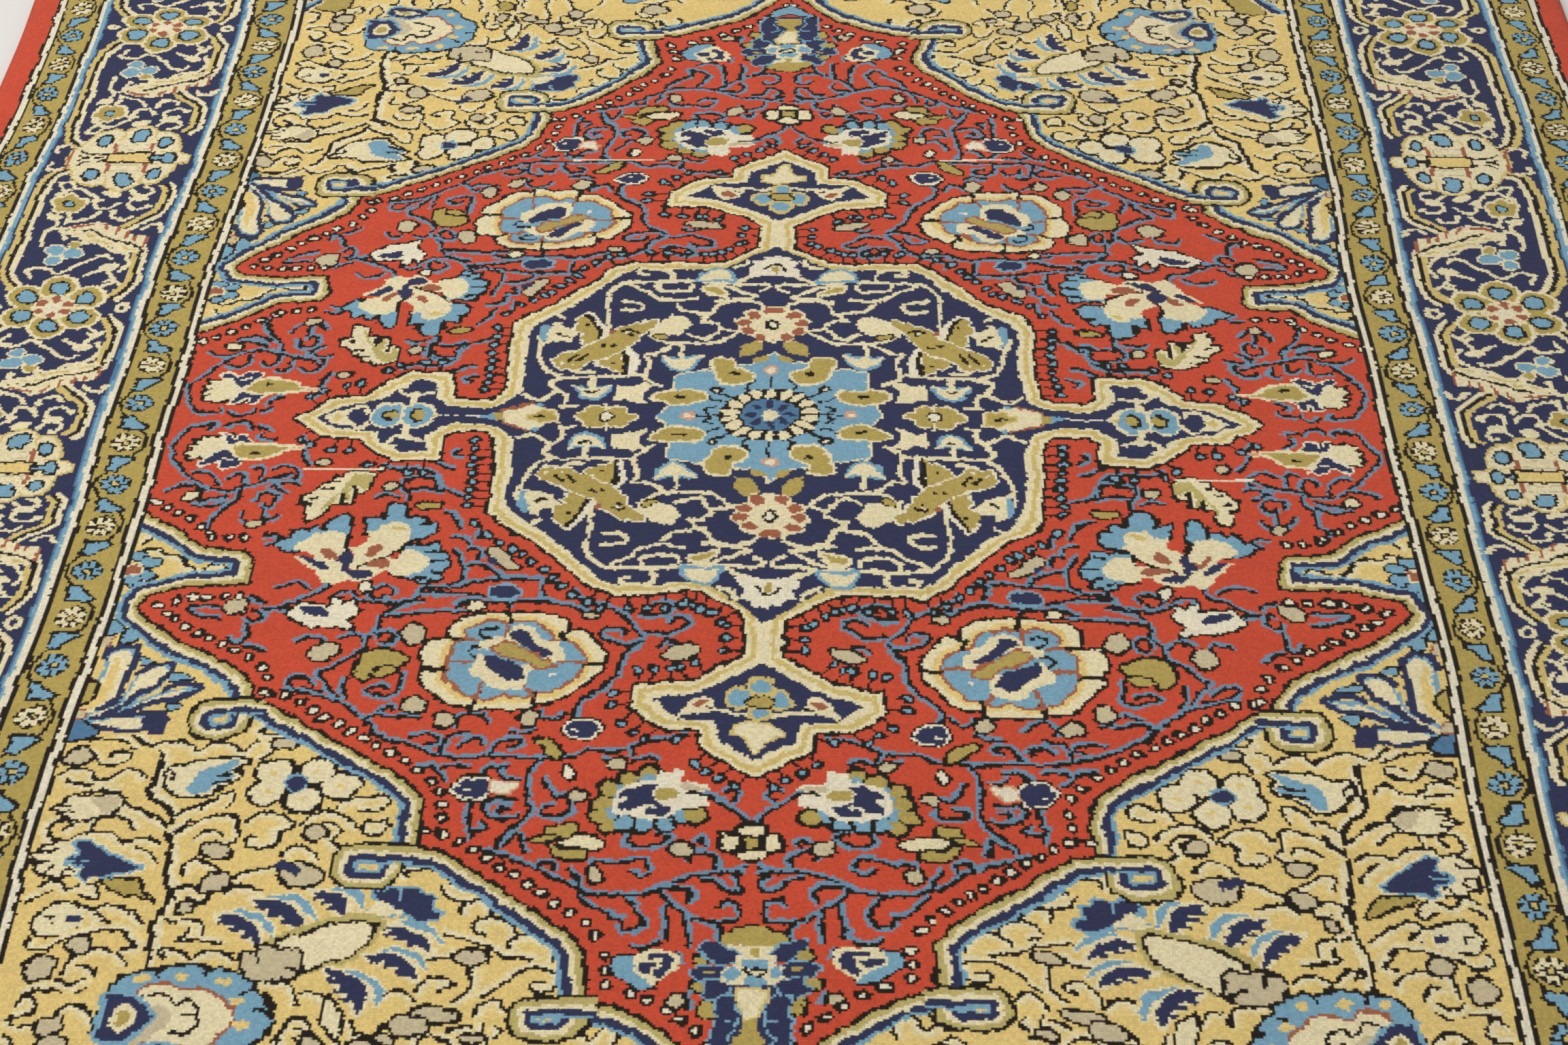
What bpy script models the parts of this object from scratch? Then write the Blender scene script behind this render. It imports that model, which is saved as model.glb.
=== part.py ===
"""A hand-knotted medallion rug lying flat: one woven piece, pile up, with gently wavy sides.

Metres, +Z up. The origin is at the centre of the underside, X runs across the rug and Y along it.
"""

import math

import bpy

# Driving dimensions
RUG_WIDTH = 1.400          # over the two sides, at their widest
RUG_LENGTH = 2.100         # along the warp
FOUNDATION_THICKNESS = 0.003
PILE_HEIGHT = 0.006
SIDE_WAVE = 0.0035         # how far a side drifts in and out of its line
END_WAVE = 0.0020          # the same for an end
POINT_SPACING = 0.030      # between outline points

# Each wave is a sum of sines: cycles along the edge, share of the height, and start in turns
RIGHT_WAVE = ((3.0, 1.00, 0.10), (7.0, 0.45, 0.62), (11.0, 0.25, 0.27))
LEFT_WAVE = ((4.0, 1.00, 0.55), (6.0, 0.50, 0.18), (13.0, 0.22, 0.80))
FAR_WAVE = ((2.0, 1.00, 0.30), (5.0, 0.50, 0.75))
NEAR_WAVE = ((3.0, 1.00, 0.05), (5.0, 0.40, 0.45))

PILE_RED = (0.61, 0.063, 0.031, 1.0)
PILE_ROUGHNESS = 0.92


def clear_scene():
    for thing in list(bpy.data.objects):
        bpy.data.objects.remove(thing, do_unlink=True)


def edge_offsets(wave, depth, count):
    """Inward drift at evenly spaced points of one edge: 0 at its widest point, depth at its narrowest."""
    height = [
        sum(share * math.sin(2.0 * math.pi * (cycles * i / (count - 1) + start)) for cycles, share, start in wave)
        for i in range(count)
    ]
    low, high = min(height), max(height)
    return [depth * (high - value) / (high - low) for value in height]


def rug_outline():
    """The outline, anticlockwise from the near right corner, with every edge drifting inside its own line."""
    half_width, half_length = RUG_WIDTH / 2.0, RUG_LENGTH / 2.0
    along = round(RUG_LENGTH / POINT_SPACING) + 1
    across = round(RUG_WIDTH / POINT_SPACING) + 1
    right = edge_offsets(RIGHT_WAVE, 2.0 * SIDE_WAVE, along)
    left = edge_offsets(LEFT_WAVE, 2.0 * SIDE_WAVE, along)
    far = edge_offsets(FAR_WAVE, 2.0 * END_WAVE, across)
    near = edge_offsets(NEAR_WAVE, 2.0 * END_WAVE, across)

    def blend(first, last, share):
        return first + (last - first) * share

    points = []
    for i in range(along - 1):
        share = i / (along - 1)
        y = blend(-half_length + near[-1], half_length - far[0], share)
        points.append((half_width - right[i], y))
    for i in range(across - 1):
        share = i / (across - 1)
        x = blend(half_width - right[-1], -half_width + left[0], share)
        points.append((x, half_length - far[i]))
    for i in range(along - 1):
        share = i / (along - 1)
        y = blend(half_length - far[-1], -half_length + near[0], share)
        points.append((-half_width + left[i], y))
    for i in range(across - 1):
        share = i / (across - 1)
        x = blend(-half_width + left[-1], half_width - right[0], share)
        points.append((x, -half_length + near[i]))
    return points


def wool_material():
    material = bpy.data.materials.new("knotted_pile")
    material.use_nodes = True
    surface = material.node_tree.nodes["Principled BSDF"]
    surface.inputs["Base Color"].default_value = PILE_RED
    surface.inputs["Roughness"].default_value = PILE_ROUGHNESS
    surface.inputs["Metallic"].default_value = 0.0
    material.diffuse_color = PILE_RED
    return material


def knotted_rug(collection):
    thickness = FOUNDATION_THICKNESS + PILE_HEIGHT
    curve = bpy.data.curves.new("rug", "CURVE")
    curve.dimensions = "2D"
    curve.fill_mode = "BOTH"
    curve.extrude = thickness / 2.0
    spline = curve.splines.new("POLY")
    outline = rug_outline()
    spline.points.add(len(outline) - 1)
    for point, (x, y) in zip(spline.points, outline):
        point.co = (x, y, 0.0, 1.0)
    spline.use_cyclic_u = True
    curve.materials.append(wool_material())
    rug = bpy.data.objects.new("rug", curve)
    rug.location = (0.0, 0.0, thickness / 2.0)
    collection.objects.link(rug)
    return rug


def main():
    clear_scene()
    collection = bpy.data.collections.new("persian_rug")
    bpy.context.scene.collection.children.link(collection)
    knotted_rug(collection)


main()
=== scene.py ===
import math

import bpy
import numpy as np
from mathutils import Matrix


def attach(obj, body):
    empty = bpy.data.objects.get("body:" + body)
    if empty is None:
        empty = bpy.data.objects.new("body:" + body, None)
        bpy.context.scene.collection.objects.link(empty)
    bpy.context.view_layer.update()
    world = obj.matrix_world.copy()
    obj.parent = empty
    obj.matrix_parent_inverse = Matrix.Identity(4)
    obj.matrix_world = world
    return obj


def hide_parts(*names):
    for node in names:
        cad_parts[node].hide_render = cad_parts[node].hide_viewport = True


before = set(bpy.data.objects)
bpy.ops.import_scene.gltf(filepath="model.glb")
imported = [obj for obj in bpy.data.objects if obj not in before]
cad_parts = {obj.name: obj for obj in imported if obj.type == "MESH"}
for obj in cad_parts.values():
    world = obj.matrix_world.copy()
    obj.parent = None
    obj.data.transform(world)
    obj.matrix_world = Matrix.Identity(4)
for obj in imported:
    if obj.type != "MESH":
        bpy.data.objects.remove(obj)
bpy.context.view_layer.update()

rug = {
    "node": "rug",
    "width": 1.400,           # over the sides, metres
    "length": 2.100,
    "thickness": 0.009,       # foundation and pile together
    "knotsAcross": 800,       # one knot each 1.75 mm both ways
    "knotsAlong": 1200,
    "faceAcross": 4,          # knots that one face of the mesh holds
    "faceAlong": 6,
    "sideDrift": 0.0070,      # how far a side wanders inside its line
    "endDrift": 0.0040,
    "edges": {                # how each wanders: cycles along it, share of the height, start in turns
        "right": ((3.0, 1.00, 0.10), (7.0, 0.45, 0.62), (11.0, 0.25, 0.27)),
        "left": ((4.0, 1.00, 0.55), (6.0, 0.50, 0.18), (13.0, 0.22, 0.80)),
        "far": ((2.0, 1.00, 0.30), (5.0, 0.50, 0.75)),
        "near": ((3.0, 1.00, 0.05), (5.0, 0.40, 0.45)),
    },
    "hollow": 0.0006,         # mean depth of the pile's surface under the full thickness
    "hills": ((0.31, 0.47, 0.0003, 0.1), (-0.23, 0.52, 0.0002, 0.4), (0.57, -0.19, 0.0001, 0.7)),
    "rimDrop": 0.0022,        # how much lower the pile ends at the edge
    "rimWidth": 0.012,
}

yarns = {  # every dyed yarn of the pile, as the eye sees it, 0 to 255
    "red": (204, 77, 50),
    "yellow": (229, 200, 125),
    "ivory": (233, 219, 176),
    "olive": (181, 159, 85),
    "navy": (47, 51, 82),
    "sky": (123, 166, 187),
    "steel": (112, 144, 168),
    "black": (30, 22, 12),
    "beige": (203, 188, 151),
    "rust": (164, 96, 68),
    "gold": (212, 188, 114),
    "white": (234, 224, 196),
    "paleOlive": (190, 174, 106),
    "deepSky": (82, 123, 156),
    "rose": (216, 160, 124),
    "cream": (231, 208, 143),
}
yarnNumber = {name: number for number, name in enumerate(yarns)}


def inPairs(numbers):
    # places from a row of numbers, across,along, across,along and so on
    return np.asarray(numbers, float).reshape(-1, 2)


def offLine(points, across, along, closed=False):
    # distance from every cell to the nearest stretch of a line
    nearest = np.full(across.shape, 1e9)
    ends = np.roll(points, -1, axis=0) if closed else points[1:]
    for (a, b), (c, d) in zip(points, ends):
        u, v = c - a, d - b
        share = np.clip(((across - a) * u + (along - b) * v) / max(u * u + v * v, 1e-9), 0.0, 1.0)
        nearest = np.minimum(nearest, np.hypot(across - a - share * u, along - b - share * v))
    return nearest


def within(points, across, along):
    # True where a ray to the right of the cell crosses the closed outline an odd number of times
    inside = np.zeros(across.shape, dtype=bool)
    for (a, b), (c, d) in zip(points, np.roll(points, -1, axis=0)):
        if b != d:
            inside ^= ((b > along) != (d > along)) & (across < (c - a) * (along - b) / (d - b) + a)
    return inside


def flowing(points, closed=False, steps=5):
    # smooth curve: each stretch is a cubic through its two ends, with slopes taken from their neighbours
    points = inPairs(points)
    if len(points) < 3:
        return points
    around = np.vstack([points[-1:], points, points[:2]]) if closed else np.vstack([points[:1], points,
        points[-1:]])
    share = np.linspace(0.0, 1.0, steps, endpoint=False)[None, :, None]
    before, start, end, after = (around[k:len(around) - 3 + k][:, None] for k in range(4))
    way = start + 0.5 * share * (end - before + share * (
        2 * before - 5 * start + 4 * end - after + share * (3 * (start - end) + after - before)))
    way = way.reshape(-1, 2)
    return way if closed else np.vstack([way, points[-1:]])


def oval(place, size, turn=0.0):
    # ellipse of half sizes, turned by degrees
    angle = np.linspace(0.0, 2.0 * np.pi, 20, endpoint=False)
    return turned(np.stack([size[0] * np.cos(angle), size[1] * np.sin(angle)], axis=1), turn) + place


def turned(points, degrees):
    # places turned round 0, 0
    c, s = math.cos(math.radians(degrees)), math.sin(math.radians(degrees))
    return inPairs(points) @ np.array([[c, s], [-s, c]])


def ring(middle, radii, turns):
    # places on an ellipse round a middle, each with its turn in degrees
    for turn in turns:
        c, s = math.cos(math.radians(turn)), math.sin(math.radians(turn))
        yield (middle[0] + radii[0] * c, middle[1] + radii[1] * s), turn


def leaf(start, end, width, bend=0.0, blunt=1.0):
    # pointed leaf: half its width is a power of a sine along a middle line that bows sideways by bend
    start, end = np.array(start, float), np.array(end, float)
    along = end - start
    aside = np.array([-along[1], along[0]]) / np.hypot(*along)
    share = np.linspace(0.0, 1.0, 11)[:, None]
    middle = start + share * along + bend * np.sin(np.pi * share) * aside
    half = 0.5 * width * np.sin(np.pi * share) ** blunt * aside
    return np.vstack([middle + half, (middle - half)[-2:0:-1]])


def scallops(place, size, lobes, depth, turn=0.0):
    # flower outline: an ellipse whose radius dips by depth between its lobes
    angle = np.linspace(0.0, 2.0 * np.pi, 10 * lobes, endpoint=False)
    radius = 1.0 - depth * (1.0 - np.abs(np.cos(lobes * angle / 2.0)))
    outline = np.stack([size[0] * radius * np.cos(angle), size[1] * radius * np.sin(angle)], axis=1)
    return turned(outline, turn) + place


def aside(points, distance):
    # the same line moved sideways by a distance
    slope = np.gradient(np.asarray(points, float), axis=0)
    length = np.maximum(np.hypot(slope[:, 0], slope[:, 1]), 1e-9)
    return points + distance * np.stack([-slope[:, 1], slope[:, 0]], axis=1) / length[:, None]


def rim(yarn, width=2.4):
    # layers of a filled shape with a black outline
    return f"black {width}", yarn


def parted(layer):
    # a layer is a yarn and a number of millimetres, such as "black 2.4", or a yarn alone where it is 0
    yarn, size = (layer + " 0").split()[:2]
    return yarn, float(size)


class Chart:
    # a sheet of small cells, two to a knot, that yarns are laid on; places are millimetres across and along

    def __init__(self, across, along, ground, start=(0.0, 0.0), cell=0.875):
        self.cell = cell
        self.start = np.array(start, float)
        self.shift = np.zeros(2)
        self.yarn = np.full((round(along / cell), round(across / cell)), yarnNumber[ground], np.uint8)

    def around(self, points, margin):
        # the cells near some places, and where each of them lies
        low = np.floor((points.min(axis=0) - margin - self.start) / self.cell).astype(int)
        high = np.ceil((points.max(axis=0) + margin - self.start) / self.cell).astype(int) + 1
        low, high = np.maximum(low, 0), np.maximum(np.minimum(high, self.yarn.shape[::-1]), 0)
        across = (np.arange(low[0], high[0]) + 0.5) * self.cell + self.start[0]
        along = (np.arange(low[1], high[1]) + 0.5) * self.cell + self.start[1]
        return self.yarn[low[1]:high[1], low[0]:high[0]], *np.meshgrid(across, along)

    def shape(self, points, *layers):
        # each layer is a yarn and how far past the outline it reaches, the widest first
        layers = [parted(layer) for layer in layers]
        points = inPairs(points) + self.shift
        cells, across, along = self.around(points, max(0.0, *[reach for _, reach in layers]) + 1.0)
        if cells.size:
            depth = offLine(points, across, along, closed=True)
            depth = np.where(within(points, across, along), -depth, depth)
            for yarn, reach in layers:
                cells[depth < reach] = yarnNumber[yarn]

    def soft(self, points, *layers):
        # a shape whose outline flows through its points
        self.shape(flowing(points, closed=True), *layers)

    def curve(self, points, *layers):
        # a flowing line; each layer is a yarn and its width
        for layer in layers:
            self.line(flowing(points), *parted(layer))

    def spot(self, place, size, *layers, turn=0.0):
        # an oval
        self.shape(oval(place, size, turn), *layers)

    def line(self, points, yarn, width):
        # straight stretches from place to place
        points = inPairs(points) + self.shift
        cells, across, along = self.around(points, width)
        if cells.size:
            cells[offLine(points, across, along) < width / 2.0] = yarnNumber[yarn]


# outlines and lines are rows of numbers, in millimetres from the rug's centre:
# across,along, across,along and so on
medallion = {  # a quarter of each outline, from the pendant tip round to the finial tip
    "outside": (0,368, 36,341, 38,326, 63,323, 85,304, 85,284, 52,281, 35,271, 13,256, 13,221, 30,205,
        46,196, 60,194, 75,197, 106,198, 122,189, 140,168, 164,145, 194,124, 203,112, 203,26, 211,19,
        236,19, 243,26, 244,52, 276,53, 292,42, 302,32, 304,26, 330,23, 346,11, 359,0),
    "heart": (0,224, 15,211, 28,199, 41,190, 58,186, 76,188, 103,189, 113,183, 131,163, 155,138, 180,118,
        191,106, 191,28, 197,17, 208,11, 236,9, 246,14, 255,21, 256,43, 272,43, 288,30, 293,20, 308,16,
        323,13, 343,0),
    "pendant": (0,263, 28,282, 48,292, 71,296, 71,298, 53,316, 28,317, 25,334, 0,353),
}


def allRound(points, sides=2):
    # mirrors a quarter outline to the other quarters, or to the other half when sides is 1
    points = inPairs(points)
    whole = np.vstack([points, points[::-1] * (1, -1), points * (-1, -1), points[::-1] * (-1, 1)])
    return whole if sides == 2 else np.vstack([points, points[::-1] * (-1, 1)])


def drawMedallion(chart):
    # the ivory and gold band, the navy heart and pendants, then what lies in them
    chart.shape(allRound(medallion["outside"]), "black 2.8", "ivory", "gold -3.2", "ivory -7.2")
    chart.shape(allRound(medallion["heart"]), "navy")
    chart.shape(allRound(medallion["pendant"], 1), "navy")
    chart.shift = np.array([-2.0, 8.0])  # the rest is placed from the rug's own centre, a little off
    scrolls = (
        (190,18, 178,12, 170,18, 165,23, 170,30), (157,4, 157,17, 163,22, 168,30, 168,36, 156,40, 135,40,
        104,41, 97,36, 86,28), (139,46, 150,46, 160,52), (164,42, 172,47, 180,60, 184,76, 186,88),
        (182,78, 172,86), (99,43, 97,60, 101,68, 89,70, 76,80, 50,82, 38,88, 28,98), (94,90, 85,83, 76,81),
        (68,93, 56,87, 47,94, 42,104, 50,110, 56,113, 48,122), (33,98, 43,99), (130,100, 131,140, 122,155,
        110,162, 55,163, 35,162, 22,170), (112,158, 100,151, 91,141, 77,138, 62,141), (78,134, 71,124,
        55,120, 58,110), (48,121, 44,134, 30,138, 16,135, 12,130), (48,137, 40,138), (48,137, 30,140,
        16,143, 28,150, 40,157, 56,162), (12,150, 5,155, 10,160, 34,160), (92,161, 91,152, 80,149, 68,151,
        66,157), (83,165, 82,175, 90,180, 101,180, 105,174, 98,172), (120,137, 111,136, 102,131, 108,124,
        119,125), (176,118, 168,112), (36,183, 26,187, 24,193), (148,4, 160,4), (96,9, 104,12),
    )
    for points in scrolls:
        chart.curve(points, "ivory 3.8")
    chart.shape((119,12, 112,14, 108,10, 99,12, 99,22, 93,30, 100,32, 110,28, 118,30), "ivory 0.5")
    chart.shape((98,90, 97,102, 88,110, 78,116, 70,114, 65,106, 74,94, 84,92), "ivory 0.8")
    chart.shape((182,84, 177,82, 172,81, 166,82, 161,82, 160,87, 155,92, 155,97, 160,98, 166,98, 171,102,
        170,106, 175,104, 177,99, 182,98), "ivory 0.6")
    chart.shape((184,82, 179,81, 180,90, 177,99, 178,103, 184,102, 186,94), "sky")
    # ivory fans lined with sky, two of them on a stalk
    fan = inPairs((-1,0.6, -0.7,-0.2, 0,-0.6, 0.7,-0.2, 1,0.6, 0.3,0.5, -0.3,0.5))
    for a, b, half, sign in ((138, 20, 13, 1), (71, 56, 14, 1), (49, 172, 15, -1)):
        chart.soft(fan * (half, half * sign) + (a, b), "sky 1.5", "ivory -1.5")
        if sign > 0:
            chart.curve((a - half, b + 9, a - half + 5, b + 5, a, b + 5, a + half - 5, b + 5, a + half,
                b + 9), "ivory 3.2")
            chart.line(((a, b + 4), (a, b + 20)), "ivory", 4.0)
    chart.curve((134,23, 138,21, 143,23), "black 2.0")
    for place, turn in (((166, 88), 0), ((171, 91), 35)):
        chart.spot(place, (3.0, 1.7), "black", turn=turn)
    chart.spot((88, 91), (6, 3), "black 1.5", "olive", turn=20)
    chart.soft((58,156, 55,149, 42,144, 38,143, 42,151, 50,157), "ivory 1.6", "olive -1.8")
    drawBird(chart)
    drawStar(chart)
    # round flower with rust petals above and below the star, two olive buds before it
    for start, end in (((27, 65), (12, 86)), ((13, 64), (9, 58))):
        chart.shape(leaf(start, end, 15, blunt=0.8), "olive")
    chart.shape(scallops((-2, 106), (33, 26), 11, 0.12, 8), "ivory")
    for place, turn in ring((-2, 106), (25.5, 19.5), range(6, 366, 33)):
        chart.spot(place, (5.4, 4.6), "ivory 1.2", "rust", turn=turn)
    chart.shape(scallops((-2, 106), (20, 16), 6, 0.16), "ivory")
    chart.spot((-2, 106), (10.5, 8), "black", "white -2.6")
    # ivory flower that fills the end of the heart
    chart.shape((23,169, 24,177, 19,184, 21,192, 14,194, 12,199, 4,200, 2,203, -4,202, -4,171, 8,172),
        "white")
    chart.soft((-6,171, -6,189, 0,188, 5,183, 3,177, 1,171), "olive")
    chart.curve((10,181, 6,187, 1,189, -5,189), "black 2.8")
    # olive flower with a white eye, then the rose bud that points along the arm
    chart.shape(scallops((125, -8), (25, 15), 6, 0.22), "ivory", "olive -1.9")
    chart.line((125,-8, 125,8), "ivory", 1.8)
    chart.spot((125, -8), (6.5, 5.5), "black 0.4", "white -1.8")
    chart.shape((160,-12, 160,0, 168,1, 175,5, 183,7, 190,4, 196,1, 203,-1, 204,-12), "ivory")
    chart.line((183,8, 190,5, 196,2, 203,-1, 204,-12), "rust", 2.6)
    chart.spot((177, 7), (3.4, 2.4), "sky")
    chart.shape((162,-12, 162,-1, 168,0, 175,1, 180,-4, 185,-5, 185,-12), "gold", "olive -1.6")
    chart.spot((174, -8), (5, 1.4), "black")
    chart.shape((202,-13, 202,-3, 209,-4, 222,-8), "olive")
    chart.shape((209,-13, 209,-4, 224,-8), "sky")
    chart.line((222,-8, 246,-8), "white", 2.2)
    chart.shift = np.zeros(2)
    drawFinial(chart)
    drawPendant(chart)


def drawBird(chart):
    # long body with a ragged tail, two feathered wings each with a black and a white bar, white outline
    body = (172,62, 170,55, 165,50, 160,53, 155,50, 149,51, 145,56, 140,60, 134,63, 126,68, 118,72, 115,77,
        112,79, 110,84, 106,87, 105,92, 102,95, 100,100, 93,104, 93,111, 99,111, 103,108, 106,110, 110,107,
        117,103, 122,98, 126,94, 130,88, 137,84, 142,80, 148,76, 155,73, 162,70, 168,67)
    wings = ((117,43, 122,48, 125,47, 128,52, 132,51, 137,56, 136,61, 134,66, 126,69, 117,72, 116,55),
        (140,79, 147,79, 151,81, 149,85, 153,88, 149,92, 152,95, 158,97, 158,103, 155,106, 156,111, 150,118,
        146,115, 141,108, 137,100, 135,90))
    for bar in ((110,44, 109,55, 109,66, 114,74), (130,88, 131,95, 135,103, 141,111, 147,119)):
        chart.line(bar, "white", 5.2)
    for points in wings:
        chart.shape(points, "white 1.7", "olive")
    for bar in ((115,44, 115,56, 113,64, 117,73), (135,87, 135,94, 139,102, 143,109, 148,117)):
        chart.line(bar, "black", 3.6)
    chart.shape(body, "white 1.7", "olive")
    for a, b, c, d in ((159,61, 153,68), (151,61, 145,68), (117,97, 112,99), (112,99, 107,97)):
        chart.line(((a, b), (c, d)), "black", 3.2)
    for place in ((131, 79), (124, 78), (124, 56), (111, 93), (147, 104)):
        chart.spot(place, (2.0, 2.0), "black")
    for place in ((165, 57), (154, 56), (113, 96)):
        chart.spot(place, (1.7, 1.4), "white")
    chart.spot((126, 96), (2.6, 2.6), "rust")


def drawStar(chart):
    # sky star with olive leaves and rose spots, round a black disc with a ring of ivory petals
    middle = (2.0, -8.0)
    star = (0,78, 7,67, 15,63, 30,62, 44,54, 52,55, 73,51, 73,32, 76,14, 85,0)
    chart.shape(allRound(star) + middle, "ivory 1.7", "sky")
    for points in ((52,14, 60,7, 74,6, 89,13, 90,19, 78,22, 64,21, 55,20), (18,38, 23,31, 33,29, 42,35,
            47,50, 47,60, 33,61, 31,50, 22,46)):
        chart.soft(points, "ivory 2.0", "olive -0.4")
    chart.line((66,14, 72,15), "black", 3.0)
    chart.spot((31, 42), (3.2, 3.2), "black")
    for start, end in (((2, 26), (2, 42)), ((36, -8), (56, -8))):
        chart.line((start, end), "black", 2.6)
    for place in ((2, 47), (62, -8)):
        chart.spot(place, (6.2, 5.6), "rose", "white -2.4")
    chart.curve((30,12, 38,18, 44,24), "black 2.2")
    chart.spot((43, 23), (5.5, 5.0), "black", "white -3.4")
    for points in ((16,34, 21,25, 17,22), (44,2, 50,-2, 46,-6), (38,8, 46,10, 50,14)):
        chart.curve(points, "black 2.4")
    chart.spot(middle, (38, 32), "black")
    chart.spot(middle, (22, 18), "deepSky")
    for place, turn in ring(middle, (30.5, 25.5), range(10, 370, 20)):
        chart.spot(place, (6.6, 3.9), "ivory", turn=turn)
    for place, turn in ring(middle, (14, 12), range(0, 360, 45)):
        chart.spot(place, (4.8, 3.0), "navy", turn=turn)
    chart.spot(middle, (6.5, 6.0), "ivory")


def drawFinial(chart):
    # sky flower of two petals with olive eyes, ivory stalks beside it and a cream bud towards the tip
    for place, size in (((288, 0), (12, 15)), ((266, 0), (12.5, 14.5))):
        chart.spot(place, size, "ivory 1.6")
    chart.shape((262,-9, 262,9, 246,0), "ivory", "gold -2.2")
    for place, size in (((288, 0), (11, 14.4)), ((266.5, 0), (11, 13.6))):
        chart.spot(place, size, "sky")
    chart.line((277.5,-13, 277.5,13), "ivory", 2.6)
    for a in (283.5, 265):
        chart.spot((a + 1.6, 0), (5.6, 7.8), "black")
        chart.spot((a, 0), (4.2, 5.6), "olive")
        chart.line(((a - 4, -3.6), (a + 4, -3.6)), "black", 1.8)
    chart.line((271,13, 270,27), "ivory", 5.6)
    chart.curve((284,32, 279,26, 270,25, 259,29), "ivory 3.8")
    chart.curve((279,27, 284,34, 278,36), "ivory 3.2")
    chart.soft((334,0, 324,8, 313,10, 318,3, 318,-3, 313,-10, 324,-8), "ivory")
    chart.spot((324, 0), (3.4, 4.4), "gold")
    chart.curve((318,6, 311,12, 305,11, 303,5), "ivory 3.2")


def drawPendant(chart):
    # sky flower of four petals round an olive eye, a bird-like leaf beside it and a three-lobed bud under it
    petals = (((0, 284), (7.6, 6.6)), ((14, 296), (6.8, 7.6)), ((0, 309), (6.6, 5.0)))
    for place, size in petals:
        chart.spot(place, size, "gold 2.8")
    for place, size in petals:
        chart.spot(place, size, "sky")
    chart.spot((0, 299), (8.5, 4.6), *rim("olive", 1.8))
    chart.shape((49,305, 47,298, 40,294, 33,297, 31,304, 29,308, 52,311), "ivory 0.8")
    chart.shape((46,303, 42,298, 36,297, 34,299, 42,305), "rust")
    chart.line((31,305, 37,306), "black", 1.6)
    chart.curve((53,312, 40,308, 20,309, 10,311), "ivory 3.4")
    chart.shape((-9,318, 8,318, 17,322, 18,330, 10,331, 6,337, 2,347, -9,347), "gold 0.6", "ivory -1.6")


spandrelEdge = (  # where the black outline of the spandrels runs in a quarter, from the long side to the apex
    456,104, 420,127, 396,147, 369,148, 361,158, 361,187, 400,189, 428,199, 431,210, 420,224, 392,246,
    361,264, 346,276, 336,290, 335,304, 322,304, 300,319, 270,338, 246,354, 222,371, 208,388, 207,428,
    194,429, 184,436, 150,463, 112,494, 98,512, 97,551, 80,552, 62,562, 38,582, 18,612, 0,640)

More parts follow.
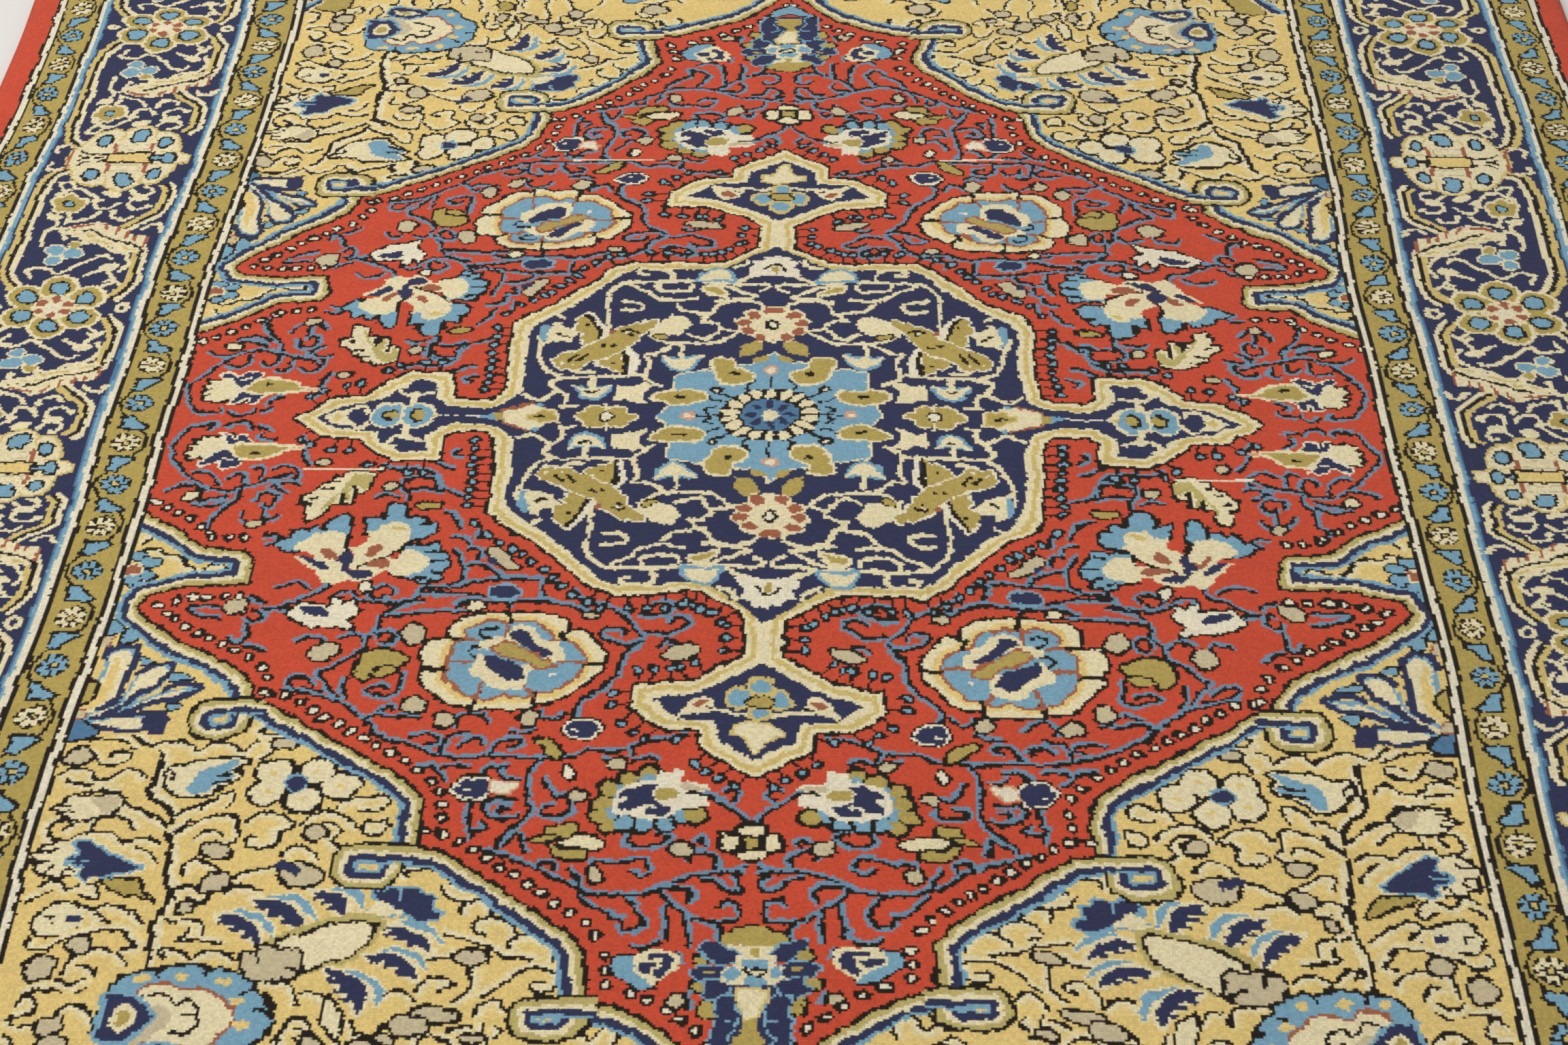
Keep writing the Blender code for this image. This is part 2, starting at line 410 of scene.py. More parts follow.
redVines = (  # side, then the line: black runs on the left of travel where side is 1 and else on the right
    (1, 415,13, 412,8, 421,6, 432,10, 437,20, 442,35, 440,47, 432,58, 425,68, 418,77, 408,83, 396,86,
    386,82), (1, 406,10, 400,5, 392,6, 389,12), (-1, 384,9, 378,10, 374,14), (1, 379,17, 380,23, 371,27),
    (-1, 350,22, 345,28, 344,42, 338,56), (-1, 382,60, 376,57, 371,62, 373,71), (-1, 364,62, 358,57, 350,58,
    345,66, 347,73), (-1, 420,65, 412,63, 404,69, 403,79), (-1, 396,71, 390,64, 384,68, 383,76), (1, 386,82,
    375,77, 362,73, 350,67), (-1, 364,82, 360,78, 350,75, 342,77), (-1, 438,85, 430,79, 420,78, 411,82),
    (1, 385,84, 386,93, 396,105, 400,117, 401,127), (1, 414,97, 404,95, 394,91), (-1, 418,100, 405,102,
    395,97), (-1, 373,98, 372,89, 364,87, 357,92, 358,101, 365,103, 367,98), (-1, 360,78, 357,84, 350,88),
    (-1, 366,104, 366,119), (1, 380,107, 378,115, 372,119), (-1, 355,111, 358,116, 363,119), (1, 360,134,
    352,132, 349,137, 356,142), (-1, 286,58, 275,62, 256,62, 246,68, 240,80, 233,88, 222,93), (-1, 264,78,
    262,73, 247,72, 243,77, 241,86), (1, 262,88, 250,87, 238,90), (1, 268,74, 267,86, 262,92, 262,100),
    (-1, 286,94, 278,91, 268,95), (1, 232,40, 235,46, 227,50), (-1, 246,55, 238,60, 230,62), (-1, 342,188,
    334,184, 323,185, 316,190), (1, 308,182, 307,190, 320,198, 332,206, 342,211), (1, 358,199, 352,202,
    345,206), (1, 352,213, 340,213, 326,212), (-1, 347,213, 344,221, 350,226, 356,220), (-1, 378,210,
    388,210, 398,211, 390,218, 374,221), (1, 355,228, 354,240, 360,245, 364,239), (-1, 352,246, 345,250,
    337,256), (1, 300,199, 292,194, 284,198), (1, 259,199, 258,192, 269,189, 277,196, 270,203, 263,200),
    (-1, 286,200, 276,204, 262,206, 248,203, 242,198, 240,191, 228,189, 216,187), (1, 262,217, 255,209,
    244,205, 236,203), (-1, 262,218, 245,216, 222,212, 205,212), (1, 265,217, 264,232, 270,239, 271,251,
    280,260, 290,269, 298,275, 290,284, 283,298), (-1, 318,245, 313,239, 303,240, 299,246), (-1, 290,240,
    280,236, 272,243), (-1, 263,241, 261,234, 254,233, 251,240, 256,246, 262,244), (1, 297,286, 306,279,
    313,279, 315,285, 306,291, 292,293), (1, 278,279, 279,291, 276,298), (-1, 316,291, 300,294, 285,298,
    270,308, 258,319, 248,330, 236,336, 222,341), (-1, 241,272, 240,289, 246,296, 258,295, 264,290, 256,286,
    248,287), (-1, 250,309, 243,303, 238,307), (-1, 262,318, 250,312, 240,314, 224,313), (-1, 239,190,
    215,187, 200,183, 184,180, 165,180, 150,182, 140,187), (1, 240,196, 222,195, 208,197, 196,198),
    (1, 155,182, 154,199), (-1, 216,207, 208,203, 200,202), (-1, 182,199, 176,206), (-1, 196,201, 180,201,
    164,201, 148,201, 136,205, 126,211, 112,213), (-1, 133,190, 132,198, 122,203, 110,208, 99,217, 92,228,
    84,240, 93,252, 98,264, 99,273, 107,286, 118,296, 122,306, 119,318), (1, 84,240, 92,244, 104,241,
    112,235, 109,230, 99,231, 97,236), (-1, 82,210, 74,206, 65,208, 66,214, 75,219, 88,219), (-1, 68,224,
    62,219, 54,220, 52,226, 60,233, 68,237, 82,234), (1, 72,249, 68,244, 60,246), (-1, 233,112, 225,118,
    220,131), (-1, 226,138, 215,141, 211,148), (1, 208,128, 206,141), (-1, 222,152, 216,160, 212,173,
    213,183, 222,187), (-1, 212,152, 205,152, 203,162), (-1, 210,167, 200,168, 190,173, 186,178),
    (-1, 197,323, 197,315, 190,310, 182,312, 177,319), (-1, 144,307, 141,313, 133,315, 128,308),
    (-1, 162,326, 152,328, 144,324), (-1, 222,341, 210,347, 190,350, 160,350, 135,351, 117,350, 108,343,
    95,345, 84,342, 74,337, 60,332, 46,330), (-1, 226,332, 218,330, 208,332, 206,338, 213,341), (1, 203,347,
    202,338, 198,331, 188,330), (-1, 194,341, 190,336, 180,334, 177,340), (-1, 173,348, 170,338, 164,333,
    155,334, 153,339, 161,342), (1, 83,342, 81,350), (-1, 217,356, 208,358, 202,364, 197,371), (-1, 201,359,
    191,356, 183,359), (-1, 176,366, 172,359, 160,358), (-1, 163,362, 159,368, 150,369), (-1, 138,354,
    143,362, 143,380, 141,398, 143,407, 150,412, 157,420, 160,431), (-1, 134,369, 130,378, 125,384,
    117,382), (-1, 116,388, 114,397, 123,402, 134,400, 134,392, 126,391), (1, 177,391, 179,400, 181,409),
    (1, 172,405, 167,411, 175,413), (1, 180,412, 177,420), (-1, 152,389, 162,388, 169,393, 165,401, 155,403,
    147,401), (1, 155,395, 161,394, 160,398), (-1, 157,428, 152,420, 147,417, 144,424, 141,433),
    (-1, 167,430, 152,437, 140,441, 128,448, 117,456, 106,462), (-1, 132,446, 130,440, 122,441, 121,448),
    (-1, 98,446, 96,440, 84,441, 76,438, 66,438, 62,447), (-1, 74,447, 68,451, 63,449), (-1, 36,381, 26,385,
    16,391, 9,397, 4,403, 3,410), (-1, 19,381, 13,377, 8,383, 12,389), (1, 74,415, 77,424, 68,429, 56,426,
    51,420, 60,417), (-1, 39,440, 38,431, 30,432, 22,437, 22,447), (-1, 36,424, 31,421, 28,427),
    (-1, 97,352, 90,353), (-1, 78,353, 68,350, 62,354), (-1, 106,462, 93,467, 80,468, 64,466, 49,458,
    33,451, 18,449, 4,444), (-1, 103,468, 96,477, 87,484, 79,488), (-1, 75,471, 69,480, 65,489, 69,496,
    77,497, 80,492), (-1, 63,465, 52,462, 41,462, 36,467, 38,475), (1, 51,472, 52,485, 54,505), (-1, 56,466,
    48,474, 36,485, 26,490, 13,491, 7,485, 9,477, 17,474, 20,479), (-1, 39,482, 38,492, 38,508),
    (-1, 31,456, 20,457, 17,464, 9,465, 7,458, 12,453), (-1, 18,449, 11,448, 5,452), (-1, 72,506, 66,510,
    57,508), (1, 30,488, 22,496, 20,506), (-1, 46,513, 44,521), (-1, 39,546, 36,556), (-1, 112,446, 108,452,
    105,460),
)

redBuds = (  # yarn, place, half size, turn: small buds with a black rim
    ("beige", (365, 209), (8.5, 8.5), 0), ("white", (279, 188), (5, 4.5), 0), ("beige", (297, 254),
    (9.5, 8.5), 20), ("beige", (240, 236), (8, 9), 10), ("beige", (228, 303), (6.5, 7.5), 0), ("beige",
    (207, 317), (7.5, 6.5), -25), ("beige", (151, 315), (6.5, 7.0), 0), ("beige", (57, 253), (12.5, 5.5),
    18), ("beige", (112, 384), (5.5, 4.5), 0), ("white", (119, 364), (3.6, 5.5), 0), ("beige", (87, 356),
    (5.5, 4.5), 0), ("beige", (43, 430), (7.5, 5.5), -35), ("beige", (96, 452), (4.5, 6), 0), ("ivory",
    (200, 207), (5, 3.5), 10), ("beige", (119, 216), (5.5, 3.5), 0), ("beige", (277, 82), (5.5, 4.5), 0),
    ("beige", (368, 121), (5.5, 4.0), 0), ("ivory", (419, 91), (6, 4), 30), ("beige", (328, 53), (5.5, 3.5),
    0), ("olive", (245, 105), (9, 3.4), 0), ("beige", (45, 553), (4.5, 5), 0),
)


def vine(chart, side, points):
    # tendril of two yarns side by side
    way = flowing(points)
    chart.line(aside(way, -side * 1.3), "steel", 2.7)
    chart.line(aside(way, side * 1.3), "black", 2.8)


def dotRow(chart, path, distance, pitch, yarn, bar):
    # dots on short bars that stand off an edge, one every pitch along it
    path = np.array(path, float)
    steps = np.hypot(*np.diff(path, axis=0).T)
    reach = np.concatenate([[0.0], np.cumsum(steps)])
    for place in np.arange(0.5 * pitch, reach[-1], pitch):
        side = min(np.searchsorted(reach, place) - 1, len(steps) - 1)
        ahead = (path[side + 1] - path[side]) / steps[side]
        foot = path[side] + ahead * (place - reach[side])
        dot = foot + distance * np.array([-ahead[1], ahead[0]])
        if bar:
            chart.line((foot, dot), "black", 2.0)
        chart.spot(dot, (2.1, 2.1), *rim(yarn, 2.7))


def drawRedField(chart):
    # tendrils, buds and rows of dots along both edges, then the large flowers and leaves
    for side, *points in redVines:
        vine(chart, side, points)
    for yarn, place, size, turn in redBuds:
        chart.shape(scallops(place, size, 5, 0.12, turn), *rim(yarn))
    edge = inPairs(spandrelEdge)
    for first, last in ((0, 3), (5, 14), (14, 20), (20, 22), (22, 27), (28, 32)):
        dotRow(chart, edge[first:last + 1], 11.0, 11.5, "white", False)
    outside = inPairs(medallion["outside"])
    for first, last in ((0, 1), (1, 2), (3, 4), (4, 5), (5, 7), (8, 9), (9, 15), (15, 19), (19, 20),
            (24, 26), (28, 30)):
        pitch = 9.4 if first == 19 else 11.5  # closer beside the heart's upright sides
        dotRow(chart, outside[first:last + 1][::-1], -14.5, pitch, "sky", first != 15)
    drawLily(chart)
    drawBigRosette(chart)
    drawBell(chart)
    drawHalfPalmette(chart)
    # ivory and olive serrated leaf, olive leaf of two lobes, white leaf with four fingers
    chart.shape((331,117, 324,113, 320,107, 319,100, 312,100, 313,94, 310,90, 307,99, 303,99, 303,92,
        302,83, 300,84, 300,88, 297,89, 293,85, 292,78, 291,70, 295,67, 303,65, 310,67, 312,70, 317,70,
        318,75, 322,77, 328,79, 329,83, 331,86, 338,90, 338,98, 333,100, 333,108), *rim("ivory", 2.5))
    chart.soft((301,68, 292,72, 293,82, 297,86, 299,80, 304,79, 306,88, 305,97, 308,96, 310,88, 314,92,
        318,102, 324,108, 320,98, 314,88, 309,77), "paleOlive")
    for points, width in (((302,81, 302,90), 3.2), ((311,90, 309,98), 2.8), ((327,83, 319,83), 2.4),
            ((332,94, 329,93), 2.8), ((318,75, 314,75), 2.2), ((337,98, 332,100), 3.0)):
        chart.line(points, "black", width)
    chart.soft((272,262, 266,254, 256,252, 244,256, 241,261, 248,268, 260,268, 262,276, 266,280, 272,274),
        *rim("olive", 2.6))
    chart.shape(leaf((262, 276), (244, 270), 8), *rim("olive", 2.2))
    chart.shape((331,216, 325,207, 312,206, 301,208, 299,201, 294,202, 293,209, 286,202, 284,209, 280,212,
        284,218, 288,222, 282,232, 290,230, 300,228, 312,229, 322,224, 330,219), *rim("white", 2.2))
    chart.shape((322,209, 308,209, 301,213, 301,219, 314,217, 324,213), "navy")
    chart.spot((182, 193), (11, 6), "sky 2.2", "navy")
    for place, size in (((115, 325), (11, 8)), ((178, 378), (13, 9.5))):
        chart.shape(scallops(place, size, 6, 0.14), "black 3.6", "white 2.0", "navy")
        chart.spot(place + np.array((4.0, 2.0)), (1.6, 1.6), "white")
    chart.shape((166,371, 160,373, 152,371, 150,376, 158,383, 166,382), "rose 1.2", "white -0.6")
    chart.soft((196,150, 188,153, 178,164, 174,170, 183,171, 190,164, 199,156), *rim("beige", 2.2))
    chart.shape((199,160, 196,166, 190,168, 190,162), "navy")
    chart.soft((145,335, 138,334, 128,340, 125,350, 132,349, 138,342), *rim("olive"))
    # ivory and olive leaves at the side of the apex
    chart.soft((120,420, 106,419, 94,422, 91,428, 104,430, 116,427), *rim("ivory"))
    chart.soft((128,412, 116,409, 112,416, 120,420, 127,418), *rim("olive"))
    chart.soft((126,425, 118,430, 104,431, 102,438, 114,438, 122,434), *rim("olive"))
    chart.shape(leaf((140, 423), (122, 419), 5), *rim("olive", 1.8))
    # black flower of four ivory petals round an olive square
    chart.soft((-8,408, 8,408, 12,415, 20,416, 23,424, 20,433, 11,435, 6,440, -6,440), "black")
    for petal in ((-7,411, 6,411, 7,416, 3,419, -3,419), (9,418, 17,418, 19,425, 17,431, 9,429), (-10,432,
            9,431, 9,436, 0,438, -9,436), ):
        chart.shape(petal, "ivory")
    chart.shape((-4,421, 4,421, 4,429, -4,429), "olive")
    drawApex(chart)


def drawLily(chart):
    # three ivory petals with rust hearts and toothed sky tips over an ivory base that navy leaves divide
    for tips in ((350,142, 348,138, 341,137, 338,129, 334,127, 330,131, 327,126, 321,124, 318,129, 314,130,
            313,120, 307,113, 302,112, 300,116, 300,150, 334,151, 342,148), (288,116, 283,117, 279,119,
            276,118, 275,106, 272,103, 264,102, 262,107, 262,117, 256,118, 250,116, 247,118, 247,123,
            241,124, 239,129, 239,134, 243,139, 249,142, 256,142, 262,132, 286,132), (258,149, 248,148,
            240,147, 236,145, 234,149, 234,153, 229,155, 227,160, 231,163, 225,165, 225,170, 229,173,
            232,177, 229,182, 236,182, 238,186, 244,185, 246,181, 254,178, 262,176)):
        chart.shape(tips, *rim("sky", 2.6))
    for notch in ((236,152, 242,152), (230,163, 237,163), (231,176, 236,175), (239,181, 245,180),
            (316,118, 316,128), (280,110, 280,117), (258,108, 259,118), (248,124, 244,124)):
        chart.line(notch, "black", 2.8)
    for petal in ((334,144, 331,138, 324,133, 314,131, 304,133, 302,140, 300,150, 300,158, 304,162, 310,160,
            318,156, 326,152, 333,149), (285,130, 276,130, 275,125, 270,122, 263,124, 258,128, 256,136,
            256,146, 262,152, 267,156, 276,162, 281,166, 290,169, 293,165, 291,158, 292,152, 296,148,
            292,146, 286,142, 284,136), (262,160, 258,154, 250,152, 244,156, 240,162, 239,168, 244,174,
            252,177, 260,176, 266,172, 276,174, 282,173, 286,169, 283,164, 276,162, 268,160), (332,157,
            326,163, 318,170, 314,178, 309,183, 302,184, 296,181, 284,181, 274,178, 272,173, 284,172,
            296,168, 300,160, 310,158, 322,158)):
        chart.soft(petal, "ivory 0.6")
    chart.curve((256,144, 262,152, 270,159, 280,164, 288,167), "black 2.3")
    chart.curve((300,134, 300,146, 297,150), "black 3.0")
    for seed in ((316,151, 312,149, 308,152, 303,159, 306,162, 312,158), (277,144, 274,147, 276,155,
            281,158, 285,155, 283,149), (282,167, 278,162, 268,161, 264,163, 265,168, 272,170)):
        chart.soft(seed, "rust")
    chart.spot((266, 128), (5, 2.4), "gold")
    for points in ((328,157, 322,157, 314,161, 309,165, 310,169, 316,168, 322,163), (298,151, 294,152,
            292,158, 293,166, 296,172, 300,169, 300,165, 305,164, 304,160), (296,170, 288,170, 280,173,
            275,176, 280,178, 288,179, 294,176)):
        chart.soft(points, "navy")


def drawBigRosette(chart):
    # seven ivory petals shaded yellow, a rust line, sky lobes, and navy leaves on both sides of an olive bar
    chart.soft((232,250, 228,241, 217,238, 216,226, 208,219, 196,215, 180,212, 176,215, 172,212, 158,213,
        146,216, 136,221, 135,228, 138,236, 132,232, 125,232, 117,241, 110,250, 107,258, 110,263, 109,268,
        114,275, 122,284, 130,292, 140,299, 149,300, 151,305, 162,306, 175,305, 188,306, 191,302, 198,303,
        208,300, 218,291, 226,281, 229,272, 227,268, 232,259), *rim("ivory", 2.6))
    chart.soft((203,238, 204,229, 197,224, 188,220, 180,222, 172,222, 163,221, 152,226, 145,234, 143,239,
        136,240, 128,246, 121,256, 121,262, 122,268, 126,276, 134,283, 140,290, 150,290, 155,295, 162,294,
        168,291, 174,294, 180,297, 188,294, 197,293, 206,285, 212,276, 213,264, 213,252, 210,243),
        "yellow 5.0", "rust 1.2", "sky -1.2")
    for gap in ((177,210, 176,222), (218,238, 206,239), (229,268, 214,268), (190,305, 188,292),
            (151,304, 150,291), (108,263, 121,263), (140,233, 136,240)):
        chart.line(gap, "black", 3.4)
    for spoke in ((178,222, 177,235), (205,239, 193,240), (211,261, 193,261), (186,279, 189,295),
            (157,280, 151,295), (121,261, 140,259), (143,239, 152,241)):
        chart.line(spoke, "rust", 2.8)
    for points in ((176,238, 173,228, 166,225, 158,228, 150,238, 142,241, 137,248, 136,257, 144,258,
            152,250, 164,243), (192,254, 197,263, 196,270, 186,277, 178,285, 168,287, 157,285, 155,272,
            158,264, 170,262, 184,256), (191,240, 184,236, 175,236, 176,242, 184,246, 190,249)):
        chart.soft(points, "ivory 0.4")
    for points in ((174,234, 170,230, 163,231, 157,240, 150,246, 144,251, 149,254, 156,250, 164,243,
            171,238), (189,259, 187,253, 180,255, 170,260, 162,265, 160,277, 168,279, 176,274, 183,268)):
        chart.soft(points, "navy 0.2")
    chart.soft((184,246, 180,241, 172,241, 165,246, 156,252, 146,258, 141,264, 146,267, 154,266, 162,259,
        172,256, 180,250), "rust 1.2", "olive -0.9")
    for points in ((184,229, 186,227, 192,228, 195,232, 190,236, 186,237), (189,247, 196,248, 199,252,
            197,256, 194,256)):
        chart.curve(points, "black 2.6")
    chart.spot((141, 273), (1.9, 1.9), "white")


def drawBell(chart):
    # ivory bell with a ragged mouth, forked navy lobes, an olive seed and a rose tip
    chart.shape((401,19, 408,22, 414,23, 420,21, 423,25, 427,26, 424,31, 430,33, 425,37, 431,40, 427,44,
        429,49, 422,46, 415,50, 404,46, 396,38), *rim("ivory", 2.5))
    chart.shape((408,18, 403,20, 401,25, 396,27, 396,20, 391,19, 388,25, 382,31, 390,33, 399,33, 404,29),
        "white 1.8", "navy")
    chart.shape((405,38, 400,37, 396,41, 390,45, 394,49, 390,54, 396,57, 403,55, 405,50, 411,52, 418,57,
        421,53, 412,46), "white 1.8", "navy")
    chart.line((404,47, 397,49), "white", 2.0)
    chart.soft((400,34, 388,31, 374,31, 360,33, 346,35, 358,38, 364,44, 374,48, 386,49, 394,44),
        "ivory 1.8", "olive -1.4")
    chart.line((352,35, 344,35), "rose", 2.0)
    chart.spot((381, 42), (4.5, 2.0), "black")


def drawHalfPalmette(chart):
    # olive and sky blocks round a white crescent with a navy core and an ivory wedge
    blocks = (((67, 365), "olive"), ((66, 371), "sky"), ((79, 370), "olive"), ((84, 379), "sky"),
        ((92, 378), "olive"), ((88, 389), "sky"), ((95, 390), "olive"), ((90, 399), "sky"), ((97, 401),
        "olive"), ((90, 410), "olive"), ((81, 408), "sky"), ((69, 409), "sky"), ((54, 408), "sky"),
        ((44, 401), "sky"), ((36, 402), "olive"))
    for place, _ in blocks:
        chart.spot(place, (7.6, 7.4), "black 1.5")
    for place, yarn in blocks:
        chart.spot(place, (6.0, 5.8), yarn)
    for gap in ((75,402, 75,413), (62,402, 62,413), (49,400, 48,410)):
        chart.line(gap, "black", 3.0)
    chart.shape((60,363, 47,362, 47,373, 36,374, 28,378, 34,381, 46,382, 30,384, 29,392, 44,395, 48,400,
        54,403, 68,404, 82,402, 88,398, 88,388, 85,380, 78,374, 68,371, 62,370), "white 0.6")
    chart.shape((61,375, 70,374, 77,378, 84,383, 83,386, 77,386, 77,389, 83,391, 84,399, 76,399, 74,396,
        70,396, 68,401, 53,401, 51,393, 58,391, 63,388, 66,382), "navy")
    chart.curve((74,399, 70,395, 62,393), "white 2.3")
    chart.soft((64,381, 58,377, 49,379, 47,385, 56,388, 63,386), "olive")
    chart.shape((46,374, 36,375, 29,379, 38,381, 46,380), "beige")
    chart.curve((41,383, 36,382, 30,384, 24,386), "black 2.2")


def drawApex(chart):
    # heart flower beside the apex: sky petals, an ivory ring and a navy hook in it
    chart.shape((80,517, 70,515, 64,522, 64,531, 57,537, 58,542, 66,542, 72,536, 79,531, 82,524),
        *rim("sky", 1.8))
    chart.shape((68,513, 52,512, 46,516, 45,525, 50,532, 58,539, 65,532, 71,528, 71,519), "ivory")
    chart.shape((63,515, 52,515, 49,522, 51,530, 57,535, 60,530, 56,526, 57,520, 64,519), "navy")
    chart.spot((64, 525), (4.4, 3.8), "navy")
    # the upright palmette on the middle line: olive crown, three pairs of navy wings, buds between them
    chart.soft((-8,496, 8,496, 11,500, 17,501, 19,507, 15,512, -15,512), *rim("olive", 1.8))
    chart.shape((-17,510, 18,510, 10,514, 9,520, -9,520), "ivory")
    chart.shape((-3,511, 3,511, 2,518, -2,518), "olive")
    chart.shape((-12,538, 12,538, 14,592, -14,592), "navy")
    for place, size in (((30, 519), (4.2, 4.2)), ((32, 540), (4.8, 4.8)), ((26, 558), (3.6, 6.2))):
        chart.spot(place, size, *rim("olive", 2.0))
    for wing in ((28,505, 22,507, 16,512, 7,518, 10,523, 20,523, 26,515, 30,511), (37,527, 31,523, 18,525,
            14,530, 20,534, 32,535, 37,531), (28,534, 21,535, 12,540, 16,547, 24,551, 30,548, 27,541),
            (20,549, 13,547, 9,553, 8,562, 10,572, 14,580, 12,590, 22,592, 22,568)):
        chart.shape(wing, "sky 1.5", "navy")
    chart.spot((25, 529), (3.8, 1.6), "olive")
    chart.line((10,568, 14,566), "sky", 1.8)
    chart.shape((-11,518, 11,518, 12,526, 18,527, 19,535, 13,541, -13,541), "ivory")
    for place, size in (((0, 525), (8, 4.6)), ((13, 532), (4.4, 4.8)), ((0, 538), (7, 4.6))):
        chart.spot(place, size, "sky")
    chart.spot((0, 530), (7.6, 3.8), "black", "ivory -2.0")
    chart.shape((-10,543, 10,543, 8,556, 5,567, -5,567), "gold", "ivory -1.8")
    chart.shape((-4,566, 4,566, 5,575, 10,580, 10,590, -10,590), "olive")
    chart.soft((0,600, 10,595, 18,592, 12,604, 0,612), *rim("sky", 1.8))


